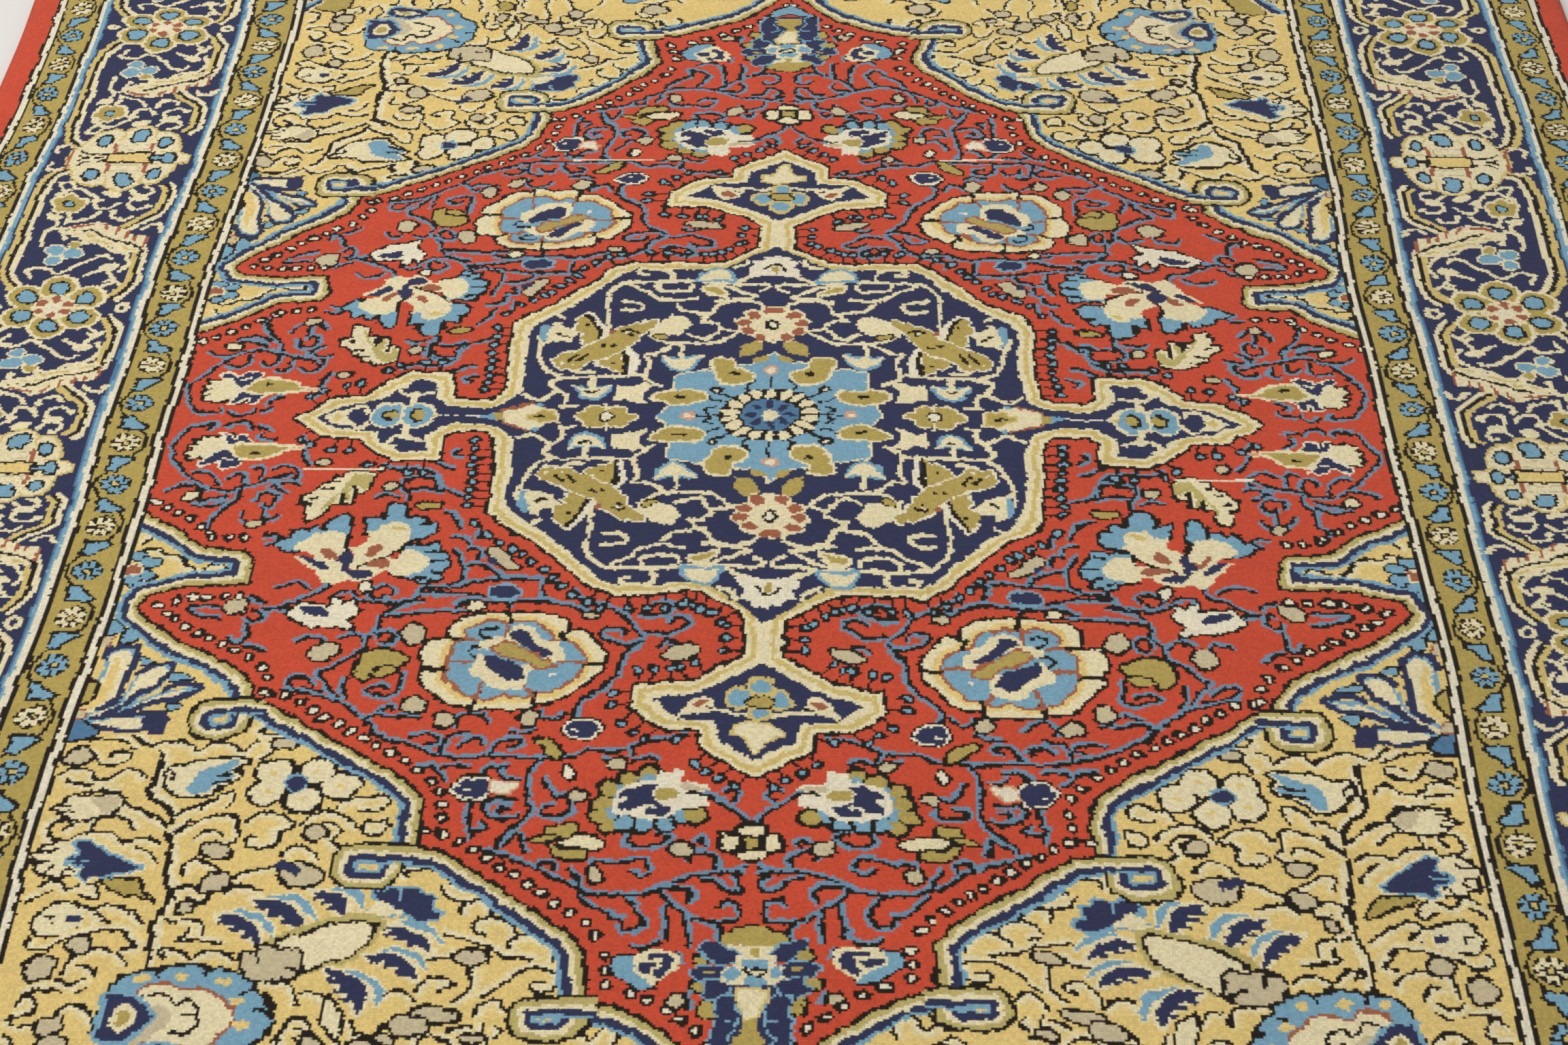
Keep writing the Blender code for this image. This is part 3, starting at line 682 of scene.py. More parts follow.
groundScrolls = (  # side, then the line: its ivory edge is on the left of travel where side is 1, else right
    (-1, 441,150, 433,148, 428,153, 420,155, 412,158, 408,165, 402,170, 396,170, 390,165, 383,166, 380,172),
    (1, 402,170, 404,178, 416,178, 428,182, 436,180), (1, 443,143, 440,137), (1, 447,342, 435,340, 420,338,
    410,341, 402,347), (1, 430,349, 425,359, 415,363, 403,358, 403,352, 412,350, 417,354), (1, 411,333,
    402,338, 394,345, 387,350, 383,357), (-1, 394,345, 387,340, 380,338, 372,340, 365,345, 360,349, 355,343,
    345,341, 337,346, 331,350, 328,343, 320,339, 314,342, 312,348, 319,357), (-1, 324,322, 318,326, 324,331,
    317,335, 309,331), (-1, 446,371, 440,366, 430,366, 425,372, 419,376, 412,374, 405,368, 397,368,
    391,374), (1, 440,376, 432,382, 424,385, 412,386, 404,386), (-1, 438,376, 425,378), (-1, 400,397,
    390,400, 382,405, 375,410, 367,417), (1, 412,421, 413,412, 405,408, 395,410, 387,418), (-1, 433,420,
    428,413, 438,411, 442,418, 438,426, 426,428, 420,422, 405,421, 395,428, 385,433, 375,440, 369,448),
    (-1, 392,431, 385,427, 376,427, 369,431), (-1, 364,408, 358,402, 350,398, 345,402), (-1, 349,400,
    345,392, 340,387, 332,387, 330,394, 334,400), (-1, 362,424, 353,416, 345,410, 335,406, 325,408, 323,418,
    321,428, 328,432), (-1, 347,427, 342,422, 335,420, 330,424), (-1, 353,412, 361,420), (-1, 320,412,
    312,404, 300,404, 292,409, 290,414, 297,420, 296,430, 305,434, 313,432, 315,427, 308,425), (-1, 286,415,
    280,405, 270,401, 262,402, 254,408, 249,413), (-1, 272,411, 264,411, 258,417, 262,426, 256,430),
    (1, 233,408, 244,409, 245,418, 237,421, 229,414, 231,406), (-1, 262,398, 260,391, 250,388, 240,384,
    233,388, 233,395, 241,399, 250,398), (-1, 350,456, 352,446, 345,444, 335,448, 328,452, 321,457),
    (-1, 325,472, 318,466, 310,466, 300,469), (-1, 352,478, 356,469, 346,465, 337,468, 333,475, 337,479,
    346,476), (-1, 318,459, 308,453, 298,449, 290,448), (-1, 293,441, 290,434, 282,431, 275,433, 269,441),
    (1, 354,494, 345,497, 340,505, 346,510, 334,510, 318,512), (-1, 345,494, 334,495, 331,505),
    (-1, 351,523, 357,518, 350,516, 342,518, 337,523), (-1, 335,525, 328,520, 318,519, 310,524),
    (-1, 294,541, 284,542, 273,543, 270,549, 269,557), (-1, 266,548, 259,548, 252,555), (-1, 271,577,
    270,570, 263,567, 257,571, 256,577), (-1, 277,585, 270,577, 258,577, 250,584), (1, 442,478, 435,472,
    428,470), (-1, 437,465, 432,461, 425,465, 420,470, 411,464, 402,467, 400,476, 410,474), (-1, 412,480,
    402,485, 395,480, 384,484, 375,490, 367,497), (-1, 405,500, 430,506, 437,495, 430,485, 418,480,
    408,484), (-1, 398,488, 390,494, 398,498), (1, 435,508, 438,515, 426,518, 418,511, 405,506, 390,502,
    380,503, 375,508, 370,514, 378,516), (-1, 411,537, 408,523, 400,518, 390,516, 380,520, 374,528),
    (-1, 402,530, 393,531, 391,538), (1, 430,552, 415,549, 400,551, 394,545), (-1, 434,560, 428,553,
    420,560, 424,568, 434,570), (-1, 408,566, 400,560, 390,565, 384,573), (1, 397,540, 404,545, 412,541),
    (-1, 436,572, 428,577, 418,574), (1, 209,455, 211,450, 203,448, 194,449, 189,454, 181,459),
    (-1, 190,462, 183,459, 175,463), (1, 190,464, 184,470, 174,474), (-1, 175,484, 174,475, 165,473,
    158,478, 155,485), (-1, 160,500, 167,497, 165,489, 155,486, 146,488, 141,495, 143,504, 146,512),
    (-1, 144,513, 146,505, 138,500, 130,500, 122,505, 117,511, 118,521, 114,530, 114,538, 120,544, 128,543,
    130,537, 122,536), (1, 184,502, 170,505, 159,509, 150,516, 142,517, 130,520), (1, 194,521, 184,520,
    177,515), (1, 168,524, 166,535, 169,545, 176,551), (-1, 116,528, 130,526, 140,531, 150,540, 160,548),
    (-1, 198,547, 193,538, 185,533, 177,537, 175,541, 183,543), (-1, 219,549, 212,544, 203,546, 198,553),
    (-1, 163,562, 160,553, 150,550, 143,557), (-1, 233,569, 228,577, 220,578, 215,572, 205,569, 197,572,
    194,581), (-1, 176,573, 168,570, 160,573, 165,579), (-1, 157,567, 155,576, 151,584), (1, 207,602,
    210,612, 206,620, 208,630), (1, 152,609, 149,618, 145,630), (-1, 178,603, 180,612, 186,621, 188,630),
    (1, 233,609, 236,615, 233,622, 238,630), (1, 242,601, 244,610, 241,619, 245,630), (1, 264,612, 257,617,
    260,625, 268,630), (1, 279,603, 277,614, 280,630), (1, 293,615, 296,622, 293,630), (-1, 320,612,
    311,617, 310,624, 318,628), (1, 327,611, 326,620, 328,630), (-1, 342,613, 344,621, 336,628),
    (1, 372,616, 361,613, 357,619, 356,630), (1, 374,592, 370,600, 371,610, 374,614, 379,610, 380,601),
    (-1, 390,600, 387,606, 392,611, 402,610), (1, 262,584, 259,592, 264,599, 272,598), (1, 271,576, 273,586,
    270,600), (-1, 211,580, 204,590, 207,600), (1, 212,582, 218,578, 226,582, 224,590, 232,597, 241,594,
    238,585), (-1, 157,601, 164,596, 170,588, 178,581, 186,578, 194,582, 190,590, 182,590), (-1, 114,598,
    110,588, 104,586, 96,590, 90,598), (1, 79,614, 84,620, 94,616, 98,609, 108,611), (-1, 408,606, 401,594,
    396,602), (1, 417,582, 410,590, 416,600), (-1, 436,584, 428,590, 430,600, 438,602), (-1, 148,569,
    143,574, 149,580), (-1, 98,575, 92,580, 88,572, 80,568, 75,575, 77,584),
)

groundBuds = ((437, 354, 9, 7, 30), (305, 342, 7, 4.5, 0), (333, 437, 9, 5, 0), (274, 420, 6.5, 6.5, 30),
    (330, 463, 10, 7, 30), (345, 484, 4.5, 4, 0), (405, 514, 7, 6, 20), (426, 533, 9, 10, 0),
    (410, 576, 8, 7, 20), (168, 517, 9, 5.5, 10), (185, 562, 15, 5, 0), (160, 580, 7, 3, 0),
    (214, 582, 7, 3, 0), (175, 593, 8, 6, 20), (226, 588, 8, 5, 0), (200, 571, 11, 7, 0),
    (253, 589, 5, 8, 20), (404, 591, 9, 7, 0), (98, 600, 10, 8, 0))


def scroll(chart, side, points):
    # black line with a soft ivory edge along one side
    way = flowing(points)
    chart.line(aside(way, side * 3.4), "cream", 5.6)
    chart.line(aside(way, side * 2.6), "ivory", 2.8)
    chart.line(way, "black", 2.6)


def drawGround(chart, nearest=0.0):
    # stem, scrolls, buds and small flowers of the yellow ground, those farther across than the nearest
    stem = flowing((383,355, 385,372, 384,390, 372,400, 366,412, 363,435, 362,455, 358,470, 359,488,
        362,505, 361,530))
    chart.line(aside(stem, 3.8), "ivory", 5.0)
    chart.line(stem, "black", 3.6)
    for side, *points in groundScrolls:
        if min(points[::2]) > nearest:
            scroll(chart, side, inPairs(points))
    for a, b, width, height, turn in groundBuds:
        if a > nearest:
            chart.shape(scallops((a, b), (width, height), 5, 0.14, turn), *rim("beige", 2.6))
    # tulip of ivory and sky with a ragged tip
    chart.soft((378,372, 376,364, 366,364, 355,358, 338,357, 326,359, 334,366, 330,371, 334,376, 345,382,
        352,390, 364,390, 374,384), *rim("ivory", 2.8))
    chart.soft((358,372, 344,362, 330,358, 336,368, 332,374, 346,381, 354,389, 361,386), "sky")
    for points in ((378,366, 372,372, 374,376), (334,371, 346,372), (335,376, 348,379)):
        chart.line(points, "black", 2.2)
    # ivory flower of five petals with a navy heart
    for a, b in ((308, 369), (281, 366), (264, 378), (286, 391), (310, 386)):
        chart.spot((a, b), (11.5, 10.5), "black 2.8")
    for a, b in ((308, 369), (281, 366), (264, 378), (286, 391), (310, 386)):
        chart.spot((a, b), (11.5, 10.5), "ivory", "yellow -8.6")
    chart.spot((293, 377), (6.5, 5.5), "sky 1.6", "navy")
    # ivory and beige flower with a toothed side
    chart.shape((444,400, 437,396, 436,390, 428,389, 420,391, 408,389, 400,394, 402,402, 410,407, 424,410,
        434,407, 436,403), *rim("ivory", 2.6))
    chart.shape((420,391, 408,390, 401,395, 403,402, 411,406), "beige")
    for points in ((444,399, 432,399), (438,394, 430,394), (437,404, 430,403)):
        chart.line(points, "black", 2.0)
    drawFleur(chart)
    # olive leaf under it
    chart.soft((400,463, 388,461, 378,462, 372,472, 366,477, 380,473), *rim("olive"))
    # ivory cloud flower
    chart.soft((436,494, 430,486, 421,483, 414,482, 408,486, 404,492, 408,500, 418,504, 428,503), "ivory")
    chart.spot((411, 494), (4.8, 3.4), "navy")
    chart.curve((430,492, 424,492, 424,496), "black 2.0")


def drawSpandrel(chart):
    # the ground with its large flowers, and the start of the next row of them
    drawGround(chart)
    # root flower in the finger: rust square with sky petals
    for a, b in ((443, 157), (434, 163), (434, 176), (443, 182)):
        chart.spot((a, b), (5.5, 5.0), *rim("sky", 1.6))
    chart.shape((450,166, 440,166, 440,176, 450,176), "ivory 1.6", "rust")
    drawHalfLotus(chart)
    drawBlueRosette(chart)
    drawShrub(chart)
    # the next row of flowers, where the photo ends
    chart.soft((402,632, 404,614, 412,606, 424,605, 434,612, 436,632), *rim("olive"))
    for yarn, move, width in (("ivory", 0, 12), ("sky", 3, 5), ("navy", -2, 5)):
        chart.line(((424 + move, 634), (446 + move, 606)), yarn, width)
    chart.soft((98,632, 108,620, 122,613, 127,620, 120,632), *rim("sky", 2.2))
    chart.soft((247,604, 246,614, 252,619, 258,612, 254,604), *rim("olive", 2.2))


def drawHalfLotus(chart):
    # petals that fan out from the side of the field, each with a navy hooked edge and a sky lining
    chart.soft((450,318, 450,250, 438,250, 424,256, 396,268, 372,290, 392,324, 392,332, 440,336), "yellow")
    for petal in ((452,322, 443,300, 441,262, 431,252, 424,262, 425,300, 436,314), (442,318, 420,300,
            414,274, 400,270, 398,284, 410,300, 430,318), (436,322, 408,304, 392,294, 376,290, 392,302,
            412,312, 432,322), (440,326, 418,317, 402,318, 402,328, 424,328)):
        chart.soft(petal, "sky 1.6", "ivory -0.8")
    chart.soft((450,310, 441,296, 438,268, 434,262, 432,296, 440,312), "yellow")
    for points, width in (((444,262, 440,252, 430,249, 423,254, 424,276, 425,298, 434,310), 5.0), ((417,277,
            410,268, 398,267, 396,276, 402,288, 412,298, 430,316), 5.0), ((396,292, 386,286, 372,290,
            380,298, 398,304, 414,312, 436,320), 5.0), ((440,326, 422,330, 404,330, 394,326, 392,318,
            400,314, 428,318), 4.2)):
        chart.curve(points, f"navy {width}")
    chart.shape((402,313, 392,312, 386,320, 388,333, 396,334, 403,330), "navy")
    for points in ((420,260, 412,262, 408,266, 418,267), (396,278, 388,277, 380,282, 392,283), (392,306,
            384,304, 380,308, 388,314)):
        chart.shape(points, *rim("sky", 1.4))
    chart.soft((452,324, 444,323, 434,330, 436,337, 452,339), *rim("deepSky", 2.2))
    chart.shape((452,312, 443,312, 442,320, 452,322), "rust 1.2", "beige")
    chart.soft((452,285, 444,286, 442,295, 444,303, 452,304), *rim("olive"))
    chart.soft((452,222, 444,224, 440,234, 452,238), *rim("sky", 2.0))
    chart.spot((433, 239), (5, 7), *rim("sky", 2.0))
    chart.shape((452,240, 443,241, 442,250, 452,252), "rust 1.0", "beige")


def drawFleur(chart):
    # half open flower: ivory cup on the side of the border, navy tongues lined with sky towards the field
    chart.shape((446,440, 442,434, 434,430, 424,430, 416,436, 414,448, 420,458, 430,460, 442,454),
        *rim("ivory", 2.6))
    chart.shape((422,430, 414,428, 402,436, 392,444, 380,452, 388,456, 398,458, 406,458, 410,462, 416,458,
        414,452, 427,448, 427,443, 418,440), "ivory 3.4", "sky 1.4", "navy -0.6")
    for points in ((445,437, 436,438, 432,434), (446,447, 436,446), (440,455, 434,450), (428,458, 424,452,
            420,456)):
        chart.line(points, "black", 2.2)
    chart.line((426,446, 414,445), "sky", 2.0)


def drawBlueRosette(chart):
    # a ring of sky petals with yellow spots, open where two navy eyes stand
    # in it a rust line, an ivory heart and a curl
    chart.shape((380,552, 377,541, 368,535, 357,532, 353,535, 348,530, 337,530, 328,532, 324,535, 317,533,
        306,536, 297,541, 295,549, 289,552, 285,559, 283,565, 281,573, 284,581, 290,586, 296,591, 299,600,
        307,606, 318,608, 329,604, 345,600, 372,590, 382,580), *rim("sky", 2.8))
    chart.shape((367,553, 363,546, 357,542, 346,542, 339,547, 332,545, 322,546, 314,551, 308,559, 303,564,
        302,572, 304,578, 309,582, 312,590, 318,596, 328,594, 344,590, 364,586, 358,566), "rust",
        "ivory -2.2")
    chart.soft((354,560, 346,562, 341,570, 346,582, 362,592, 374,593, 368,584), "beige")
    chart.curve((361,556, 355,551, 348,551, 344,557, 340,560, 336,555, 329,557, 324,562, 325,567, 323,573,
        328,579, 338,581), "black 2.4")
    chart.line((335,566, 327,567), "black", 2.2)
    for a, b in ((363, 539), (340, 538), (314, 541), (303, 557), (297, 574), (307, 598)):
        chart.spot((a, b), (4.6, 3.2), "yellow")
    for points in ((353,531, 353,539), (324,531, 325,537), (298,549, 303,552), (283,563, 291,563)):
        chart.line(points, "black", 2.6)
    chart.shape((380,553, 380,585, 364,586, 356,577, 352,569, 357,561, 366,554), "sky 3.0", "navy")
    chart.spot((368, 570), (7.2, 10), "ivory")
    chart.spot((368, 570), (4, 6), "olive")
    chart.soft((327,599, 334,604, 346,606, 357,610, 363,604, 361,595, 353,590, 343,589, 332,593), "sky 2.2",
        "navy", "ivory -5.2")
    chart.spot((349, 599), (5, 2.4), "olive", turn=15)


def comb(chart, start, end, bend, wide):
    # navy leaflet that bows away from its teeth, lined with ivory, with a sky leaflet outside the bow
    start, end = np.array(start, float), np.array(end, float)
    ahead = (end - start) / np.hypot(*(end - start))
    out = np.array((-ahead[1], ahead[0])) * math.copysign(1.0, bend)
    chart.shape(leaf(start, end, wide, bend, 0.6), "ivory 2.6")
    back = leaf(start + ahead * 7.0, end + ahead * 2.0, wide * 0.55,
        bend * 1.2, 0.7) + out * (wide * 0.5 + 4.6)
    chart.shape(back, "ivory 1.8", "sky 0.3")
    chart.shape(leaf(start, end, wide, bend, 0.6), "navy")
    for share in (0.3, 0.52, 0.74):
        foot = start + (end - start) * share + out * (abs(bend) - 0.3 * wide)
        chart.line((foot, foot - out * wide * 0.6 - ahead * 4.0), "navy", 3.4)


def drawShrub(chart):
    # ivory pod in an olive case on a beige foot, with toothed leaflets and a leafy tip
    for start, end, bend, wide in (((325, 489), (294, 513), 6, 8), ((305, 477), (270, 500), 6, 9),
            ((269, 467), (246, 490), 6, 9), ((225, 496), (192, 514), 5, 8), ((231, 519), (197, 536), 5, 8),
            ((254, 531), (229, 563), 7, 10)):
        comb(chart, start, end, bend, wide)
    chart.shape((230,467, 228,475, 220,475, 212,482, 205,487, 198,490, 190,489, 187,484, 194,479, 193,470,
        200,469, 204,464, 212,465, 220,464), "sky 2.0", "navy")
    chart.line((213,464, 214,473), "sky", 2.0)
    chart.curve((231,469, 228,478, 234,486, 240,490), "sky 3.4")
    chart.soft((226,475, 217,479, 212,484, 224,488, 236,496, 242,492, 233,485), "ivory 0.6")
    chart.curve((228,488, 216,486, 206,490), "sky 1.8")
    chart.soft((290,513, 280,502, 264,493, 246,488, 227,487, 224,500, 230,513, 240,523, 256,529, 272,534),
        "paleOlive 0.8")
    chart.soft((284,512, 270,504, 260,497, 246,494, 232,493, 229,499, 233,510, 243,519, 256,525, 270,531),
        *rim("ivory"))
    chart.shape((306,524, 304,519, 296,519, 295,514, 286,515, 285,518, 272,515, 269,520, 270,534, 276,539,
        290,541, 303,537), *rim("beige"))
    chart.line((295,514, 294,527), "black", 2.4)
    chart.curve((280,530, 273,531, 271,538), "black 2.4")
    chart.soft((291,449, 280,446, 268,450, 265,456, 272,463, 284,463, 289,457), *rim("beige", 2.6))
    chart.line((294,447, 284,451), "navy", 6.0)
    chart.shape(leaf((250, 551), (241, 582), 11, 1), *rim("ivory"))


def drawCurls(chart):
    # the band of the spandrels ends in rounded square curls
    for middle, size in (((352, 320), (19, 17)), ((237, 446), (21, 17)), ((118, 564), (21, 15))):
        a, b = middle
        w, h = size
        curl = np.array(((-w, 0), (-0.85 * w, -0.8 * h), (-0.2 * w, -h), (0.7 * w, -0.95 * h),
            (w, -0.4 * h), (w, 0.4 * h), (0.6 * w, 0.95 * h), (-0.4 * w, h), (-0.9 * w, 0.6 * h))) + middle
        chart.soft(curl, "black 2.6", "paleOlive", "ivory -4.0", "navy -7.4", "sky -12.2", "yellow -14.6")
        for yarn, depth, width in (("black", -1.2, 2.8), ("paleOlive", 1.8, 3.8), ("ivory", 5.6, 3.6),
                ("navy", 9.6, 4.6), ("sky", 12.6, 2.0)):
            chart.line(((a, b - h + depth), (a - w - 5, b - h + depth)), yarn, width)


field = {  # a quarter of the field, in millimetres from the rug's centre
    "halfWidth": 452,
    "halfLength": 806,
    "plainFrom": 622,         # past this place along, the ground is only repeated
    "blocks": ((0.0, 270.0), (-228.0, 270.0)),  # how far the ground moves for each repeat
    "blockFrom": 226.0,       # only what lies farther across is repeated
    "fillers": ((-102, 64), (-70, 112)),  # moves of the scrolls that fill the gaps left in a block
    "fillersAcross": 320,     # those that stay past this place across
    "fillersAlong": (390, 440),  # and that start between these along
    "band": ("sky 17.5", "navy 14.6", "ivory 9.8", "paleOlive 6.4", *rim("red", 2.8)),
    "outside": -20,           # safely past the middle lines
}


def fieldQuarter():
    # one quarter of the field: ground and its repeats, the red field inside its band, the medallion
    chart = Chart(field["halfWidth"], field["halfLength"], "yellow")
    low, high = field["fillersAlong"]
    for block in field["blocks"]:
        chart.shift = np.array(block)
        drawGround(chart, field["blockFrom"])
        for side, *points in groundScrolls:
            if min(points[::2]) > field["fillersAcross"] and low < points[1] < high:
                for move in field["fillers"]:
                    scroll(chart, side, inPairs(points) + move)
    chart.shift = np.zeros(2)
    out, across, along = field["outside"], field["halfWidth"] - field["outside"], field["plainFrom"]
    chart.shape((out, out, across, out, across, along, out, along), "yellow")
    drawSpandrel(chart)
    chart.shape(spandrelEdge + (out, spandrelEdge[-1], out, out, spandrelEdge[0], out), *field["band"])
    drawCurls(chart)
    drawRedField(chart)
    drawMedallion(chart)
    return chart


border = {  # all in millimetres: stripes reach so far from the rug's edge, repeats fall at such places along
    "stripes": ((23, "red"), (25.8, "black"), (30.6, "white"), (32.8, "black"), (63, "outerGuard"),
                (207, "main"), (241.2, "innerGuard"), (244.4, "black"), (248.6, "white"), (251.8, "black"),
                (2000, "field")),
    "mainSides": ((-1094, -1), (-914, 0), (-742, 1), (-570, 2), (-398, 3), (-226, 4), (-60, 5), (140, 6),
                  (357, 7), (575, 8), (744.5, 9), (914, 10), (1094, 11)),
    "mainEnds": ((-744, -1), (-564, 0), (564, 6), (744, 7)),
    "innerSides": ((-922.5, 18), (-826.5, 17), (-317, 12), (451, 4), (826.5, 0), (922.5, -1)),
    "innerEnds": ((-572.5, -1), (-476.5, 0), (476.5, 10), (572.5, 11)),
    "outerSides": ((-1097, 21), (-1001, 20), (305, 7), (510, 5), (1001, 0), (1097, -1)),
    "outerEnds": ((-747, -1), (-651, 0), (651, 13), (747, 14)),
    "halfUnit": 217.5,        # length of half a repeat of the main border
    "unitStart": 493,         # where its chart begins across, from the rug's middle line
    "unitWidth": 144,
    "guardUnit": 96.0,
    "guardWidth": 32,
    "guardNarrowing": ((70,100, 206,242), (0,3.5, 3.5,0)),  # on the right, by the place from the edge
}


def borderUnit():
    # half a repeat: across is the place on the long side (493 to 637), along runs from rosette to palmette
    end = border["halfUnit"]
    chart = Chart(border["unitWidth"], end + 0.7, "navy", start=(border["unitStart"], 0))
    for place, width, yarn in ((494.6, 3.4, "black"), (498.4, 4.2, "white"), (504.2, 2.0, "deepSky"),
            (502.0, 3.0, "sky"), (626.6, 2.0, "deepSky"), (628.8, 3.2, "sky"), (632.2, 4.2, "white"),
            (636.0, 3.4, "black")):
        chart.line(((place, -5), (place, end + 5)), yarn, width)
    drawFrame(chart)
    for points in borderScrolls:
        chart.curve(points, "ivory 3.7")
    for place, size, turn in borderBuds:
        chart.spot(place, size, "ivory", turn=turn)
    # sky flower with an olive throat
    lobes = (((586, 80), (7.5, 6.2), 20), ((571, 75), (7.5, 5.2), 0), ((585, 66), (5.6, 5.2), 0))
    for place, size, turn in lobes:
        chart.spot(place, size, "ivory 2.2", turn=turn)
    chart.spot((571, 86), (4.4, 4.8), "ivory 1.8", "olive")
    for place, size, turn in lobes:
        chart.spot(place, size, "sky 0.4", turn=turn)
    # olive flower of five petals with a sky eye
    chart.shape(scallops((591, 147), (17, 15.5), 5, 0.2, 20), "ivory", "olive -2.8")
    chart.spot((591, 147), (5.6, 5.6), "black", "sky -2.0")
    drawRosette(chart)
    drawPalmette(chart, end)
    return chart


def drawFrame(chart):
    # frame lines, ivory, black and gold: the inner one runs into the toothed leaf and starts again past it
    outer = (600,22, 608,30, 615,42, 618,58, 618,160, 615,184, 611,193, 602,199)
    inner = (525,13, 519,23, 514.5,38, 514.5,72, 518,84)
    again = (540,109, 531,119, 521,128, 515,136, 514,148, 514,168, 519,177)
    for points in (outer, inner, again):
        way = flowing(points)
        chart.line(aside(way, -4.0), "gold", 4.6)
        chart.line(aside(way, 4.0), "ivory", 4.4)
        chart.line(way, "black", 2.8)
    chart.shape((519,76, 533,79, 548,87, 563,93, 577,100, 588,104, 590,109, 578,116, 568,119, 560,122,
        553,120, 548,115, 543,112, 536,110, 532,104, 525,102, 517,102, 514,92, 512,82), "ivory")
    for points, width in (((515,84, 515,99), 2.6), ((525,96, 525,102), 2.6), ((532,99, 533,107), 3.0),
            ((542,103, 543,112), 2.8), ((551,110, 554,119), 2.8), ((563,117, 570,116, 579,113), 3.0)):
        chart.line(points, "rust", width)
    for points in ((540,88, 550,92, 560,94), (558,100, 566,102, 574,103), (522,81, 530,84)):
        chart.curve(points, "gold 2.6")
    chart.curve((513,78, 521,86, 528,91, 538,94, 548,98, 555,102, 561,107, 573,109, 586,108), "black 2.8")


borderScrolls = (  # ivory tendrils of the half repeat
    (526,50, 521,60, 525,72, 530,77, 543,81, 549,87, 557,91, 564,90, 565,98, 568,104, 574,110, 580,108,
    585,100, 583,96), (564,92, 568,90), (585,108, 589,112, 596,111, 600,105, 599,87), (596,112, 594,118,
    598,125), (537,68, 542,73, 550,71, 557,64, 565,57, 572,49, 578,47, 584,53, 592,55, 602,51, 599,45,
    597,40), (535,50, 533,44, 527,36, 524,33), (531,40, 536,36), (543,52, 549,48, 553,45), (536,130,
    540,125, 546,125, 551,128, 552,134), (526,144, 531,140, 536,139, 541,141, 544,147, 541,153), (552,148,
    556,141, 563,139, 568,142, 571,150), (584,120, 575,123, 567,128, 563,134), (597,162, 601,170, 604,176),
    (604,178, 596,179, 591,173), (597,165, 590,170, 583,169, 578,163, 572,157, 566,152), (536,171, 530,170,
    527,164, 532,159, 540,160, 546,166), (507,112, 511,117, 518,116, 523,110), (506,108, 510,112), (587,118,
    586,126, 589,133), (612,0, 618,4, 622,0), (607,201, 614,198, 622,201, 620,210), (604,132, 599,129,
    593,126), (541,20, 536,30, 530,34),
)

borderBuds = (  # place, half size and turn of the ivory buds among them
    ((536, 56), (8.5, 5.2), -10), ((598, 127), (6.2, 4.4), 0), ((526, 144), (3.6, 3.6), 0), ((537, 155),
    (8.2, 4.2), 8), ((560, 162), (8.4, 4.8), 24), ((602, 160), (3.4, 4.0), 0), ((583, 96), (3.2, 3.6), 0),
    ((552, 135), (3.0, 3.4), 0), ((571, 151), (3.4, 3.6), 0), ((514.5, 0), (7.0, 8.0), 0),
)


def drawRosette(chart):
    # six olive petals rimmed with ivory, each with a sky eye, round six rust spots and a white heart
    chart.spot((514.5, 0), (2.8, 3.6), "navy")
    eye = (-8,-3, -3,-7, 4,-8, 8,-3, 8,4, 4,8, -3,7, -8,3)
    middle, turns = (570, 0), range(-90, 271, 60)
    for place, turn in ring(middle, (26.5, 26.5), turns):
        chart.spot(place, (18.5, 16.5), "ivory", "olive -3.0", turn=turn)
    chart.spot(middle, (17.5, 17.5), "ivory")
    for place, turn in ring(middle, (26.5, 26.5), turns):
        chart.soft(turned(eye, turn) + place, "black 1.0", "sky -1.3")
    for place, turn in ring(middle, (11.4, 11.4), turns):
        chart.spot(place, (4.3, 4.1), "rust", turn=turn)
    chart.spot(middle, (6.6, 7.4), "ivory", "white -0.8", "ivory -4.6")


